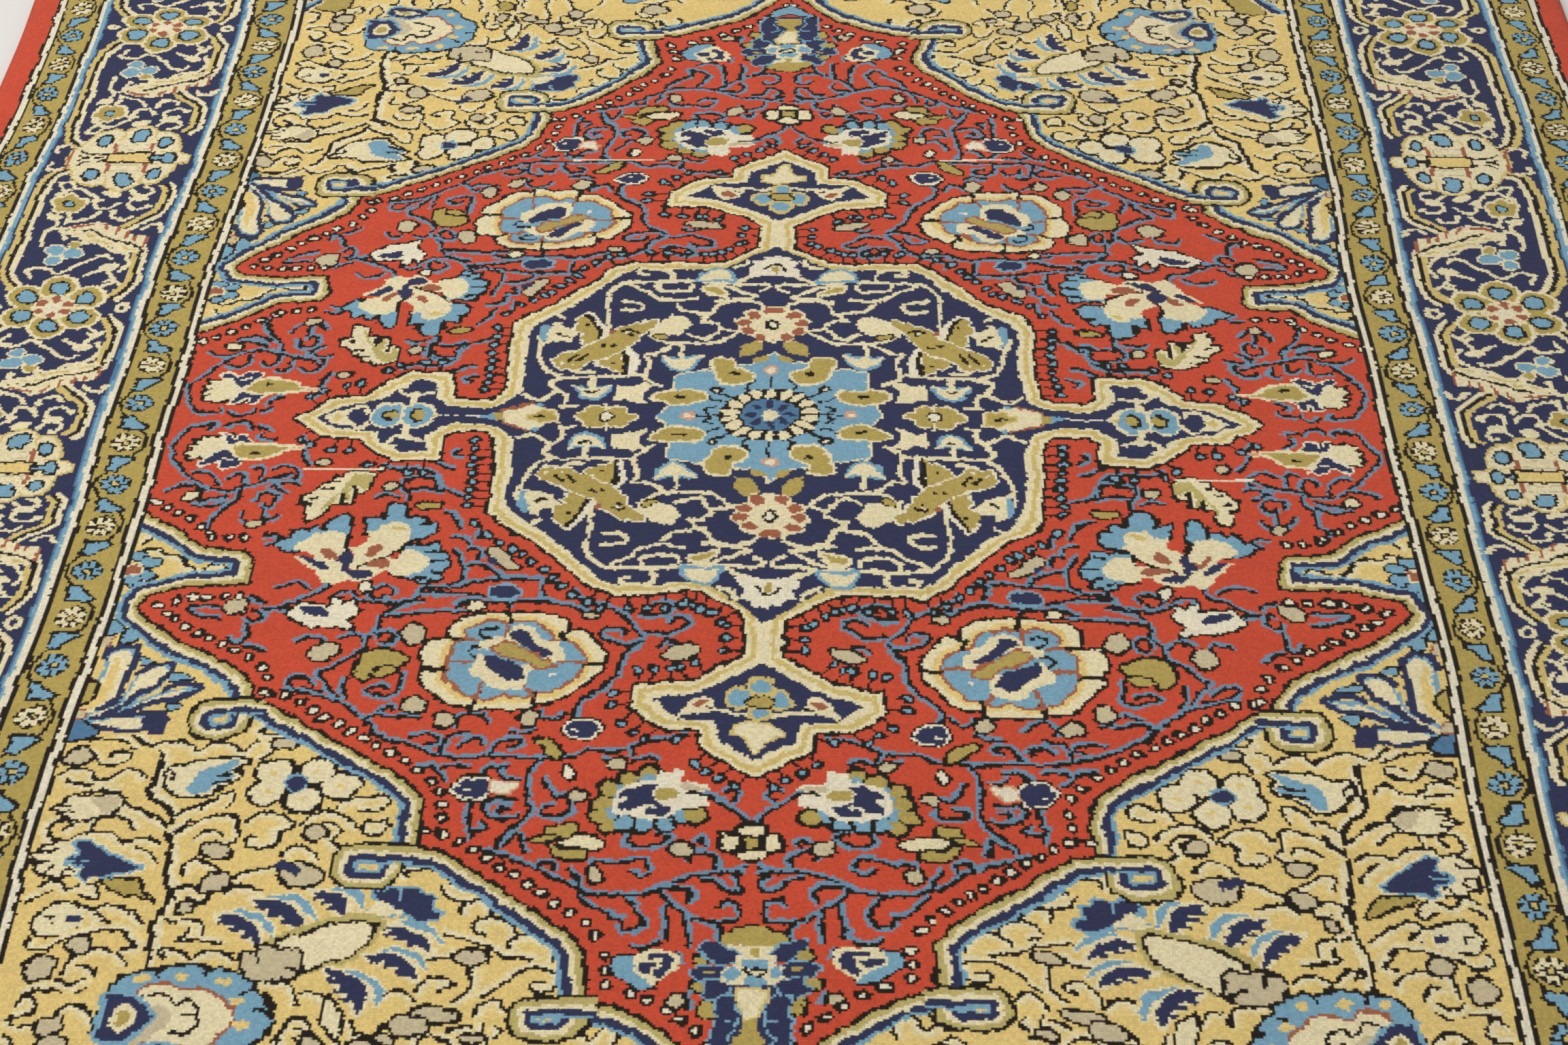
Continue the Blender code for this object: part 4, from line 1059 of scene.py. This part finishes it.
def drawPalmette(chart, end):
    # ivory lobes edged with gold, a sky eye in each, round a yellow box with a rose panel above it
    chart.soft(((509, end), (511, end - 7), (519, end - 9), (520, end - 18), (523, end - 29), (529,
        end - 39), (537, end - 42), (542, end - 42), (548, end - 48), (557, end - 51), (566, end - 47),
        (571, end - 42), (581, end - 43), (591, end - 38), (597, end - 30), (601, end - 20), (607,
        end - 13), (609, end), (609, end + 9), (509, end + 9)), "gold 0.8", "ivory -1.6")
    for points in (((542, end - 42), (543, end - 34), (541, end - 28)), ((571, end - 42), (570, end - 34),
            (573, end - 27)), ((520, end - 10), (530, end - 11), (538, end - 11))):
        chart.curve(points, "gold 1.8")
    chart.soft(((550, end - 44), (560, end - 44), (564, end - 36), (563, end - 26), (551, end - 25), (551,
        end - 32), (547, end - 36)), "black 0.8", "sky -1.4")
    chart.spot((534, end - 25), (6.6, 8.8), "black 0.6", "sky -1.8", turn=8)
    chart.spot((584, end - 26), (6.4, 9.2), "black 0.6", "sky -1.8", turn=-14)
    chart.shape(((546, end - 21), (571, end - 21), (571, end - 11), (546, end - 11)), "beige", "ivory -1.4")
    for place in (543, 573):
        chart.line(((place, end - 22), (place, end - 10)), "rust", 3.6)
    chart.shape(((540, end - 7.5), (576, end - 7.5), (576, end + 2), (540, end + 2)), "black 1.8",
        "yellow -1.0")
    chart.line(((539, end - 8), (539, end + 2)), "black", 3.4)
    chart.shape(((542, end + 2), (541, end - 3), (532, end - 3), (530, end - 8), (523, end - 8), (521,
        end + 2)), "black 1.2", "sky -1.2")
    chart.curve(((578, end - 6), (592, end - 6), (599, end - 11)), "black 2.4")
    chart.curve(((578, end), (592, end), (599, end - 3)), "black 2.4")
    chart.curve(((608, end - 18), (606, end - 9), (608, end + 1)), "rust 2.4")


def guardUnit():
    # white rosette at the start, blue one half way, hooked leaves between and a dark vine round them
    # the vine is a cosine with one wave to a repeat
    unit, middle = border["guardUnit"], 15
    chart = Chart(border["guardWidth"], unit, "olive")
    way = np.linspace(-6.0, unit + 6.0, 55)
    chart.line(np.stack([15.2 + 13.6 * np.cos(2 * np.pi * way / unit), way], axis=1), "black", 2.5)
    for along, petal in ((0.0, "ivory"), (unit, "ivory"), (unit / 2, "sky")):
        chart.spot((middle, along), (10.4, 10.8), "olive 0.8", "black")
        for place, turn in ring((middle, along), (6.6, 6.8), range(22, 382, 45)):
            chart.spot(place, (3.3, 2.1), petal, turn=turn)
        chart.spot((middle, along), (2.2, 2.2), "gold")
    hook = inPairs((6,-8, -8,-7, -6,-1, -9,6, -2,8, 2,2, 11,-5))
    for along, flip in ((unit / 4, 1), (3 * unit / 4, -1)):
        chart.shape(hook * (0.92, flip) + (middle, along), "black 1.8", "sky -0.4")
    return chart


def look(chart, across, along):
    # the yarn under each place
    column = np.floor((across - chart.start[0]) / chart.cell).astype(int)
    row = np.floor((along - chart.start[1]) / chart.cell).astype(int)
    rows, columns = chart.yarn.shape
    return chart.yarn[np.clip(row, 0, rows - 1), np.clip(column, 0, columns - 1)]


hand = (  # where the weaver strayed: place in the rug and how far the pattern sits from its true quarter
    (-430,200, -2,-12), (432,201, 4,-11), (-428,-212, 0,0), (434,-209, 6,3), (-357,152, 12,2),
    (368,150, -1,0), (-369,-150, 0,0), (357,-147, -12,3), (-357,182, 2,-3), (370,175, 11,-10),
    (-359,-185, 0,0), (350,-180, -9,5), (-374,319, -23,-3), (361,314, 10,-8), (-351,-322, 0,0),
    (347,-323, -4,-1), (-231,450, 4,5), (224,452, -11,7), (-235,-445, 0,0), (235,-450, 0,-5),
    (-144,577, -29,10), (138,579, 23,12), (-115,-567, 0,0), (130,-557, 15,10), (-93,286, -8,3),
    (81,285, -4,2), (-85,-283, 0,0), (80,-289, -5,-6), (-192,268, -25,7), (177,265, 10,4), (-167,-261, 0,0),
    (160,-270, -7,-9), (-360,0, 1,0), (360,0, 4,1), (-272,-2, 0,6), (-236,0, 0,8), (-325,0, 0,2.5),
    (272,0, 2,3), (236,0, 1,3), (325,0, 3,2), (0,369, 0,1), (0,-369, -1,-1), (-2,8, -2,8), (-70,60, -2,8),
    (70,60, -2,8), (-75,-42, -2,8), (70,-42, -2,8), (-60,206, 0,10), (60,206, 0,10), (-60,-189, 0,7),
    (60,-192, 2,3), (-200,128, 2,14), (198,125, -5,12), (-202,-104, 0,8), (190,-114, -12,-2), (-203,0, 0,5),
    (200,0, 0,5), (0,262, -2,0), (0,-258, -3,0), (0,640, 0,0), (0,-640, 0,0), (-283,379, 7,2),
    (-340,369, 12,-3), (279,377, -11,0), (346,369, -6,-3), (219,453, -18,7), (361,307, 9,-13),
    (117,261, 10,3), (228,261, -4,3), (175,227, 5,15), (176,304, 6,-2), (-252,263, -20,5),
    (-127,262, -20,4), (-184,230, -14,18), (-188,309, -18,3), (195,60, -9,4), (197,-60, -9,2),
    (270,-518, 14,-8), (344,-579, 11,-9), (365,-481, 4,-1), (212,-481, 7,-5), (-450,400, -4,0),
    (450,400, -2,0), (-450,-400, 0,0), (450,-400, -2,0), (-450,0, -2,0), (450,0, -2,0),
)


wefts = (  # rows where the pile has parted and the white weft shows: from, to and place along the rug
    (-343, -284, -59), (290, 349, -64), (-180, -112, 357), (128, 182, 356.5))


weaver = {  # how unevenly the knots lie: mean size of a drift in millimetres and knots from one to the next
    "across": (1.3, 7),
    "along": (1.0, 7),
    "ragged": (0.9, 2),
    "sway": (1.4, 50),        # slow bends of the border stripes
    "raggedTurn": 31,         # rows that the raggedness is rolled by, so that both ways differ
    "edgeShares": (0.7, 0.5),  # what of the first and of the raggedness the border stripes take on
    "strayNet": 8,            # knots from one to the next place where the strays are worked out
    "strayReach": 30.0,       # millimetres over which a stray holds fully
    "weftSlope": 0.02,        # how much a parted row climbs to the right
    "weftHalf": 1.0,          # half the width that shows of it, in millimetres
}


def stray(x, y):
    # mean of the strays weighted by nearness, worked out on a coarse net and spread evenly between
    net = weaver["strayNet"]
    coarseX, coarseY = x[::net, ::net], y[::net, ::net]
    total, moveX, moveY = 0.0, 0.0, 0.0
    for a, b, c, d in hand:
        weight = 1.0 / ((coarseX - a) ** 2 + (coarseY - b) ** 2 + weaver["strayReach"] ** 2) ** 1.5
        total, moveX, moveY = total + weight, moveX + weight * c, moveY + weight * d
    return spread(moveX / total, x.shape), spread(moveY / total, x.shape)


def spread(net, shape):
    # straight-line mixing of a coarse net up to the full size
    rows = np.linspace(0.0, net.shape[0] - 1.001, shape[0])
    columns = np.linspace(0.0, net.shape[1] - 1.001, shape[1])
    r, c = rows.astype(int)[:, None], columns.astype(int)[None, :]
    fr, fc = rows[:, None] - r, columns[None, :] - c
    return ((net[r, c] * (1 - fc) + net[r, c + 1] * fc) * (1 - fr) + (net[r + 1, c] * (1 - fc) + net[r + 1,
            c + 1] * fc) * fr)


def weaveChart():
    # one yarn number per knot: rows run along the rug from the near end, columns across from the left side
    random = np.random.default_rng(7)
    columns, rows = rug["knotsAcross"], rug["knotsAlong"]
    x = ((np.arange(columns) + 0.5) / columns - 0.5)[None, :] * rug["width"] * 1000.0
    y = ((np.arange(rows) + 0.5) / rows - 0.5)[:, None] * rug["length"] * 1000.0
    x, y = x + 0.0 * y, y + 0.0 * x

    def drift(name):
        size, pitch = weaver[name]
        return spread(random.normal(0.0, size, (rows // pitch, columns // pitch)), x.shape)

    wobbleX, wobbleY, ragged = drift("across"), drift("along"), drift("ragged")
    halfWidth, halfLength = rug["width"] * 500.0, rug["length"] * 500.0
    fromSide, fromEnd = halfWidth - np.abs(x), halfLength - np.abs(y)
    onSide = fromSide < fromEnd
    wobbleShare, raggedShare = weaver["edgeShares"]
    edge = np.where(onSide, fromSide, fromEnd) + wobbleShare * wobbleX + raggedShare * ragged + drift("sway")
    wobbleX, wobbleY = wobbleX + ragged, wobbleY + np.roll(ragged, weaver["raggedTurn"], axis=0)
    # on the right the inner guard is a little narrower, and the main border wider
    edge = edge - np.where(onSide & (x > 0), np.interp(edge, *border["guardNarrowing"]), 0.0)
    along = np.where(onSide, y, x)
    knots = np.zeros(x.shape, np.uint8)
    limit = 0.0
    field = fieldQuarter()
    main, guard = borderUnit(), guardUnit()

    def phase(name):
        # how many repeats along: straight lines between the places where they fall
        sides, ends = np.array(border[name + "Sides"]).T, np.array(border[name + "Ends"]).T
        return np.where(onSide, np.interp(along, *sides), np.interp(along, *ends))

    moveX, moveY = stray(x, y)
    fieldX, fieldY = np.abs(x - moveX + wobbleX), np.abs(y - moveY + wobbleY)
    for reach, name in border["stripes"]:
        here = (edge >= limit) & (edge < reach)
        if name == "main":
            step = phase("main")[here]
            step = np.abs(step - 2.0 * np.round(step / 2.0)) * border["halfUnit"]
            knots[here] = look(main, halfWidth - edge[here], step + wobbleY[here])
        elif name == "innerGuard" or name == "outerGuard":
            step = phase(name[:5])[here]
            step = (step - np.floor(step)) * border["guardUnit"]
            across = (edge[here] - limit) * border["guardWidth"] / (reach - limit)
            knots[here] = look(guard, across, step + wobbleY[here])
        elif name == "field":
            knots[here] = look(field, fieldX[here], fieldY[here])
        else:
            knots[here] = yarnNumber[name]
        limit = reach
    for start, finish, place in wefts:
        gap = np.abs(y - place - weaver["weftSlope"] * (x - start)) < weaver["weftHalf"]
        knots[gap & (x > start) & (x < finish)] = yarnNumber["white"]
    return knots


def edgeDrift(edge, depth, count):
    # sum of sines along an edge, shifted so that its widest point drifts 0 and its narrowest the whole depth
    share = np.linspace(0.0, 1.0, count)
    waves = rug["edges"][edge]
    height = sum(size * np.sin(2.0 * np.pi * (cycles * share + start)) for cycles, size, start in waves)
    return depth * (height.max() - height) / (height.max() - height.min())


def rugGrid(columns, rows):
    # flat grid over the outline: each line of knots is stretched between the drifting sides and ends
    right = edgeDrift("right", rug["sideDrift"], rows + 1)
    left = edgeDrift("left", rug["sideDrift"], rows + 1)[::-1]
    far = edgeDrift("far", rug["endDrift"], columns + 1)[::-1]
    near = edgeDrift("near", rug["endDrift"], columns + 1)
    u = np.linspace(0.0, 1.0, columns + 1)[None, :]
    v = np.linspace(0.0, 1.0, rows + 1)[:, None]
    xLow, xHigh = -rug["width"] / 2 + left[:, None], rug["width"] / 2 - right[:, None]
    yLow, yHigh = -rug["length"] / 2 + near[None, :], rug["length"] / 2 - far[None, :]
    return xLow + (xHigh - xLow) * u, yLow + (yHigh - yLow) * v, u + 0 * v, v + 0 * u


rowCode = 256.0  # a face's number is its row times this and its column
knotLayers = ("knotsA", "knotsB", "knotsC")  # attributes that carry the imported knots, three floats each


def packKnots(knots):
    # each face gets its own knots and one more all round
    # a line of six yarn numbers goes to one float, exact below 2 ** 24; the face's own number comes last
    across, along = rug["faceAcross"], rug["faceAlong"]
    columns, rows = knots.shape[1] // across, knots.shape[0] // along
    padded = np.pad(knots, 1, mode="edge").astype(np.int64)
    packed = np.zeros((rows, columns, along + 3))
    for line in range(along + 2):
        for place in range(across + 2):
            cells = padded[line:line + rows * along:along, place:place + columns * across:across]
            packed[:, :, line] += cells * len(yarns) ** place
    packed[:, :, -1] = np.arange(rows)[:, None] * rowCode + np.arange(columns)[None, :]
    return packed.reshape(rows * columns, -1).astype(np.float32)


def buildRug(knots):
    columns = rug["knotsAcross"] // rug["faceAcross"]
    rows = rug["knotsAlong"] // rug["faceAlong"]
    x, y, u, v = rugGrid(columns, rows)
    # slow rises and dips: a sum of plane waves of (length across, length along, height, turn), all in metres
    rise = sum(h * np.sin(2.0 * np.pi * (x / a + y / b + turn)) for a, b, h, turn in rug["hills"])
    top = np.minimum(rug["thickness"] - rug["hollow"] + rise, rug["thickness"])
    # towards the edge the pile falls off as the square of the share of the rim's width that is left
    reach = np.minimum(np.minimum(u, 1 - u) * rug["width"], np.minimum(v, 1 - v) * rug["length"])
    top -= rug["rimDrop"] * np.clip(1.0 - reach / rug["rimWidth"], 0.0, 1.0) ** 2
    count = (columns + 1) * (rows + 1)
    back = np.stack([x, y, 0 * x], axis=-1).reshape(count, 3)
    points = np.concatenate([np.stack([x, y, top], axis=-1).reshape(count, 3), back])
    number = np.arange(count).reshape(rows + 1, columns + 1)
    upper = np.stack([number[:-1, :-1], number[:-1, 1:], number[1:, 1:], number[1:, :-1]], axis=-1)
    upper = upper.reshape(-1, 4)
    lower = upper[:, ::-1] + count
    edge = np.concatenate([number[0, :-1], number[:-1, -1], number[-1, :0:-1], number[:0:-1, 0]])
    after = np.roll(edge, -1)
    walls = np.stack([edge + count, after + count, after, edge], axis=-1)
    faces = np.concatenate([upper, lower, walls])

    mesh = bpy.data.meshes.new("wovenRug")
    mesh.from_pydata([], [], [])
    mesh.vertices.add(len(points))
    mesh.vertices.foreach_set("co", points.ravel())
    mesh.loops.add(faces.size)
    mesh.loops.foreach_set("vertex_index", faces.ravel())
    mesh.polygons.add(len(faces))
    mesh.polygons.foreach_set("loop_start", np.arange(0, faces.size, 4))
    mesh.update(calc_edges=True)
    mesh.validate()

    # the knot under each face: top and underside share it, a wall takes the face that it hangs from
    cell = np.arange(rows * columns).reshape(rows, columns)
    rimCell = np.concatenate([cell[0, :], cell[:, -1], cell[-1, ::-1], cell[::-1, 0]])
    owner = np.concatenate([cell.ravel(), cell.ravel(), rimCell])
    packed = packKnots(knots)[owner]
    for k, name in enumerate(knotLayers):
        layer = mesh.attributes.new(name, "FLOAT_VECTOR", "FACE")
        layer.data.foreach_set("vector", packed[:, 3 * k:3 * k + 3].ravel())

    place = np.concatenate([np.stack([u, v], axis=-1).reshape(count, 2)] * 2)
    weave = mesh.uv_layers.new(name="weave")
    weave.data.foreach_set("uv", place[faces.ravel()].astype(np.float32).ravel())
    mesh.polygons.foreach_set("use_smooth", np.ones(len(faces), dtype=bool))
    piece = bpy.data.objects.new("wovenRug", mesh)
    bpy.context.scene.collection.objects.link(piece)
    return piece


class Wire:
    # a socket that takes part in sums: each operator adds one Math node

    def __init__(self, tree, socket):
        self.tree = tree
        self.socket = socket

    def math(self, operation, *values):
        return addNode(self.tree, "ShaderNodeMath", {"operation": operation}, values)

    def __add__(self, other):
        return self.math("ADD", self, other)

    def __radd__(self, other):
        return self.math("ADD", other, self)

    def __sub__(self, other):
        return self.math("SUBTRACT", self, other)

    def __rsub__(self, other):
        return self.math("SUBTRACT", other, self)

    def __mul__(self, other):
        return self.math("MULTIPLY", self, other)

    def __rmul__(self, other):
        return self.math("MULTIPLY", other, self)

    def __truediv__(self, other):
        return self.math("DIVIDE", self, other)

    def floor(self):
        return self.math("FLOOR", self)

    def isNear(self, number):
        return self.math("COMPARE", self, number, 0.5)

    def clamp(self, low, high):
        return self.math("MINIMUM", self.math("MAXIMUM", self, low), high)


def addNode(tree, kind, settings=None, values=(), output=0):
    # one node: its settings first, then a value or a link for each socket, by order or by name
    # stops and spread are those of a colour ramp
    node = tree.nodes.new(kind)
    for name, value in (settings or {}).items():
        if name == "stops":
            ramp = node.color_ramp
            while len(ramp.elements) > 1:
                ramp.elements.remove(ramp.elements[-1])
            for k, (position, colour) in enumerate(value):
                stop = ramp.elements[0] if k == 0 else ramp.elements.new(position)
                stop.position = position
                stop.color = (*colour, 1.0)
        elif name == "spread":
            node.color_ramp.interpolation = value
        else:
            setattr(node, name, value)
    pairs = values.items() if isinstance(values, dict) else enumerate(values)
    for key, value in pairs:
        if isinstance(value, Wire):
            tree.links.new(value.socket, node.inputs[key])
        else:
            node.inputs[key].default_value = value
    return Wire(tree, node.outputs[output])


def linear(colour):
    # eye values 0 to 255 to the renderer's linear ones
    return tuple((c / 255.0 / 12.92) if c <= 10 else ((c / 255.0 + 0.055) / 1.055) ** 2.4 for c in colour)


pile = {  # how the wool looks
    "fibreScale": 2600.0,     # tufts' ends, noise cells per metre
    "fibreShare": 0.34,       # light and dark between single ends, a share of brightness as the next four are
    "knotShare": 0.11,        # one knot against the next
    "furrowShadeShare": 0.16,      # painted shade in the furrows between knots
    "abrashShare": 0.10,      # rows dyed in another batch
    "brushedSheenShare": 0.09,        # painted sheen: broad patches of pile brushed one way or the other, made lighter or darker
    "stray": 0.95,            # how far a tuft leans over the next knot, in knots
    "furrowCurve": (1.6, 2.4),  # how fast a knot darkens with painted shade, and falls in relief, across and along, by the squared way off its middle
    "furrowMean": 0.67,
    "batch": (1.5, 60.0),     # dye batches: long across the rug, short along it
    "brushedPatchScale": 9.0,
    "roughness": 0.86,
    "brushedRoughness": 0.12,
    "fibreRoughness": 0.1,
    "specular": 0.15,
    "sheen": 0.08,
    "sheenRoughness": 0.45,
    "relief": 0.0005,         # metres
    "reliefStrength": 0.7,
    "furrowRelief": 0.6,      # what furrows and tufts add to the relief
    "fibreRelief": 1.4,
}


def splitUp(tree, wire):
    # the three parts of a vector
    parts = tree.nodes.new("ShaderNodeSeparateXYZ")
    tree.links.new(wire.socket, parts.inputs[0])
    return [Wire(tree, socket) for socket in parts.outputs]


def pileMaterial():
    material = bpy.data.materials.new("woolPile")
    material.use_nodes = True
    tree = material.node_tree
    surface = tree.nodes["Principled BSDF"]
    surface.inputs["Specular IOR Level"].default_value = pile["specular"]
    surface.inputs["Sheen Weight"].default_value = pile["sheen"]
    surface.inputs["Sheen Roughness"].default_value = pile["sheenRoughness"]

    place = splitUp(tree, addNode(tree, "ShaderNodeUVMap", {"uv_map": "weave"}))
    across = place[0] * rug["knotsAcross"]
    along = place[1] * rug["knotsAlong"]
    lines = []
    for name in knotLayers:
        lines += splitUp(tree, addNode(tree, "ShaderNodeAttribute", {"attribute_name": name},
            output="Vector"))
    faceNumber = lines.pop()
    faceRow = (faceNumber / rowCode + 1e-4).floor()  # a little over, against a quotient rounded down
    faceColumn = faceNumber - faceRow * rowCode

    # each tuft's end leans a little out of its own cell
    objectPlace = addNode(tree, "ShaderNodeTexCoord", output="Object")
    tufts = addNode(tree, "ShaderNodeTexNoise", {}, {"Vector": objectPlace, "Scale": pile["fibreScale"],
        "Detail": 1.5}, output="Color")
    fibre = splitUp(tree, tufts)
    leanAcross = (fibre[0] - 0.5) * pile["stray"] * 2.0
    leanAlong = (fibre[1] - 0.5) * pile["stray"] * 2.0

    # the yarn: which line of the face's chart, which knot in it, and that knot's number
    column = (across - faceColumn * rug["faceAcross"] + 1.0 + leanAcross).floor()
    column = column.clamp(0.0, rug["faceAcross"] + 1.0)
    line = (along - faceRow * rug["faceAlong"] + 1.0 + leanAlong).floor()
    line = line.clamp(0.0, rug["faceAlong"] + 1.0)
    word = sum((value * line.isNear(float(k)) for k, value in enumerate(lines)), 0.0)
    dyes = float(len(yarns))
    shift = sum((column.isNear(float(k)) * dyes ** -k for k in range(rug["faceAcross"] + 2)), 0.0)
    digits = (word * shift).floor()
    number = digits - (digits / dyes).floor() * dyes
    stops = [(k / dyes, linear(colour)) for k, colour in enumerate(yarns.values())]
    dye = addNode(tree, "ShaderNodeValToRGB", {"stops": stops, "spread": "CONSTANT"},
        {"Fac": (number + 0.5) / dyes})

    # light and dark: tufts, knots, painted shade in the furrows between them, dye batches along the rows,
    # broad brushed patches with painted sheen
    knotAcross, knotAlong = (across + leanAcross * 0.5).floor(), (along + leanAlong * 0.5).floor()
    cell = addNode(tree, "ShaderNodeCombineXYZ", {}, {"X": knotAcross, "Y": knotAlong})
    single = addNode(tree, "ShaderNodeTexWhiteNoise", {"noise_dimensions": "2D"}, {"Vector": cell})
    inAcross, inAlong = across - across.floor() - 0.5, along - along.floor() - 0.5
    curveAcross, curveAlong = pile["furrowCurve"]
    # painted shade: each knot is darker towards its rim, where the furrows between knots lie; the same
    # falloff shapes the relief
    furrow = 1.0 - (inAcross * inAcross * curveAcross + inAlong * inAlong * curveAlong)
    batchAcross, batchAlong = pile["batch"]
    batch = addNode(tree, "ShaderNodeCombineXYZ", {}, {"X": place[0] * batchAcross,
        "Y": place[1] * batchAlong})
    abrash = addNode(tree, "ShaderNodeTexNoise", {}, {"Vector": batch, "Scale": 1.0, "Detail": 5.0,
        "Roughness": 0.65})
    # broad patches of pile brushed one way or the other: they vary the roughness, and paint sheen into the
    # colour as lighter and darker patches
    brushed = addNode(tree, "ShaderNodeTexNoise", {}, {"Vector": objectPlace, "Scale": pile["brushedPatchScale"],
        "Detail": 3.0})
    light = (1.0 + (fibre[2] - 0.5) * pile["fibreShare"] * 2.0 + (single - 0.5) * pile["knotShare"] * 2.0
             + (furrow - pile["furrowMean"]) * pile["furrowShadeShare"]
             + (abrash - 0.5) * pile["abrashShare"] * 2.0
             + (brushed - 0.5) * pile["brushedSheenShare"] * 2.0)
    colour = addNode(tree, "ShaderNodeVectorMath", {"operation": "SCALE"}, {"Vector": dye, "Scale": light})
    tree.links.new(colour.socket, surface.inputs["Base Color"])
    roughness = (pile["roughness"] + (brushed - 0.5) * pile["brushedRoughness"]
                 + (fibre[0] - 0.5) * pile["fibreRoughness"])
    tree.links.new(roughness.socket, surface.inputs["Roughness"])
    height = furrow * pile["furrowRelief"] + fibre[2] * pile["fibreRelief"]
    bump = addNode(tree, "ShaderNodeBump", {}, {"Strength": pile["reliefStrength"],
        "Distance": pile["relief"], "Height": height}, output="Normal")
    tree.links.new(bump.socket, surface.inputs["Normal"])
    return material


floorPlane = {
    "half": 3.2,              # metres from the middle to each side
    "drop": 0.0005,           # metres below the rug's back
    "colour": (0.72, 0.70, 0.67, 1.0),
    "roughness": 0.7,
}


def buildFloor():
    half, drop = floorPlane["half"], floorPlane["drop"]
    mesh = bpy.data.meshes.new("floor")
    corners = [(-half, -half, -drop), (half, -half, -drop), (half, half, -drop), (-half, half, -drop)]
    mesh.from_pydata(corners, [], [(0, 1, 2, 3)])
    floor = bpy.data.objects.new("floor", mesh)
    bpy.context.scene.collection.objects.link(floor)
    material = bpy.data.materials.new("paleFloor")
    material.use_nodes = True
    surface = material.node_tree.nodes["Principled BSDF"]
    surface.inputs["Base Color"].default_value = floorPlane["colour"]
    surface.inputs["Roughness"].default_value = floorPlane["roughness"]
    mesh.materials.append(material)


studio = {  # places and sizes in metres, power in watts; both lamps look at the middle of the rug
    "keyLight": {"place": (-1.4, 0.7, 2.6), "size": 1.8, "power": 49.0, "colour": (1.0, 0.96, 0.9)},
    "fillLight": {"place": (1.8, -1.2, 2.4), "size": 2.2, "power": 6.0, "colour": (1.0, 0.98, 0.96)},
    "sky": (0.9, 0.92, 0.95, 1.0),
    "skyStrength": 0.58,
}


def softLight(name):
    settings = studio[name]
    lamp = bpy.data.lights.new(name, "AREA")
    lamp.size = settings["size"]
    lamp.energy = settings["power"]
    lamp.color = settings["colour"]
    holder = bpy.data.objects.new(name, lamp)
    holder.location = settings["place"]
    direction = -np.array(settings["place"])
    pitch = math.acos(-direction[2] / np.linalg.norm(direction))
    holder.rotation_euler = (pitch, 0.0, math.atan2(direction[1], direction[0]) - math.pi / 2)
    bpy.context.scene.collection.objects.link(holder)


viewpoint = {  # where the camera stands over the near end, in metres and degrees
    "place": (0.062, -1.584, 1.246),
    "turn": (49.90, 0.69, 1.43),
    "lens": 62.5,
    "sensor": 36.0,
}


def buildCamera():
    camera = bpy.data.cameras.new("camera")
    camera.lens = viewpoint["lens"]
    camera.sensor_width = viewpoint["sensor"]
    holder = bpy.data.objects.new("camera", camera)
    holder.location = viewpoint["place"]
    holder.rotation_euler = [math.radians(angle) for angle in viewpoint["turn"]]
    bpy.context.scene.collection.objects.link(holder)
    bpy.context.scene.camera = holder


knots = weaveChart()
print("chart drawn:", knots.shape)
piece = buildRug(knots)
print("rug built:", len(piece.data.polygons), "faces")
piece.data.materials.append(pileMaterial())
print("wool dyed:", len(yarns), "yarns")
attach(piece, "root")
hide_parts(rug["node"])

buildFloor()
softLight("keyLight")
softLight("fillLight")
world = bpy.data.worlds.new("studio")
world.use_nodes = True
world.node_tree.nodes["Background"].inputs["Color"].default_value = studio["sky"]
world.node_tree.nodes["Background"].inputs["Strength"].default_value = studio["skyStrength"]
bpy.context.scene.world = world
bpy.context.scene.view_settings.view_transform = "Standard"
buildCamera()
print("studio ready")
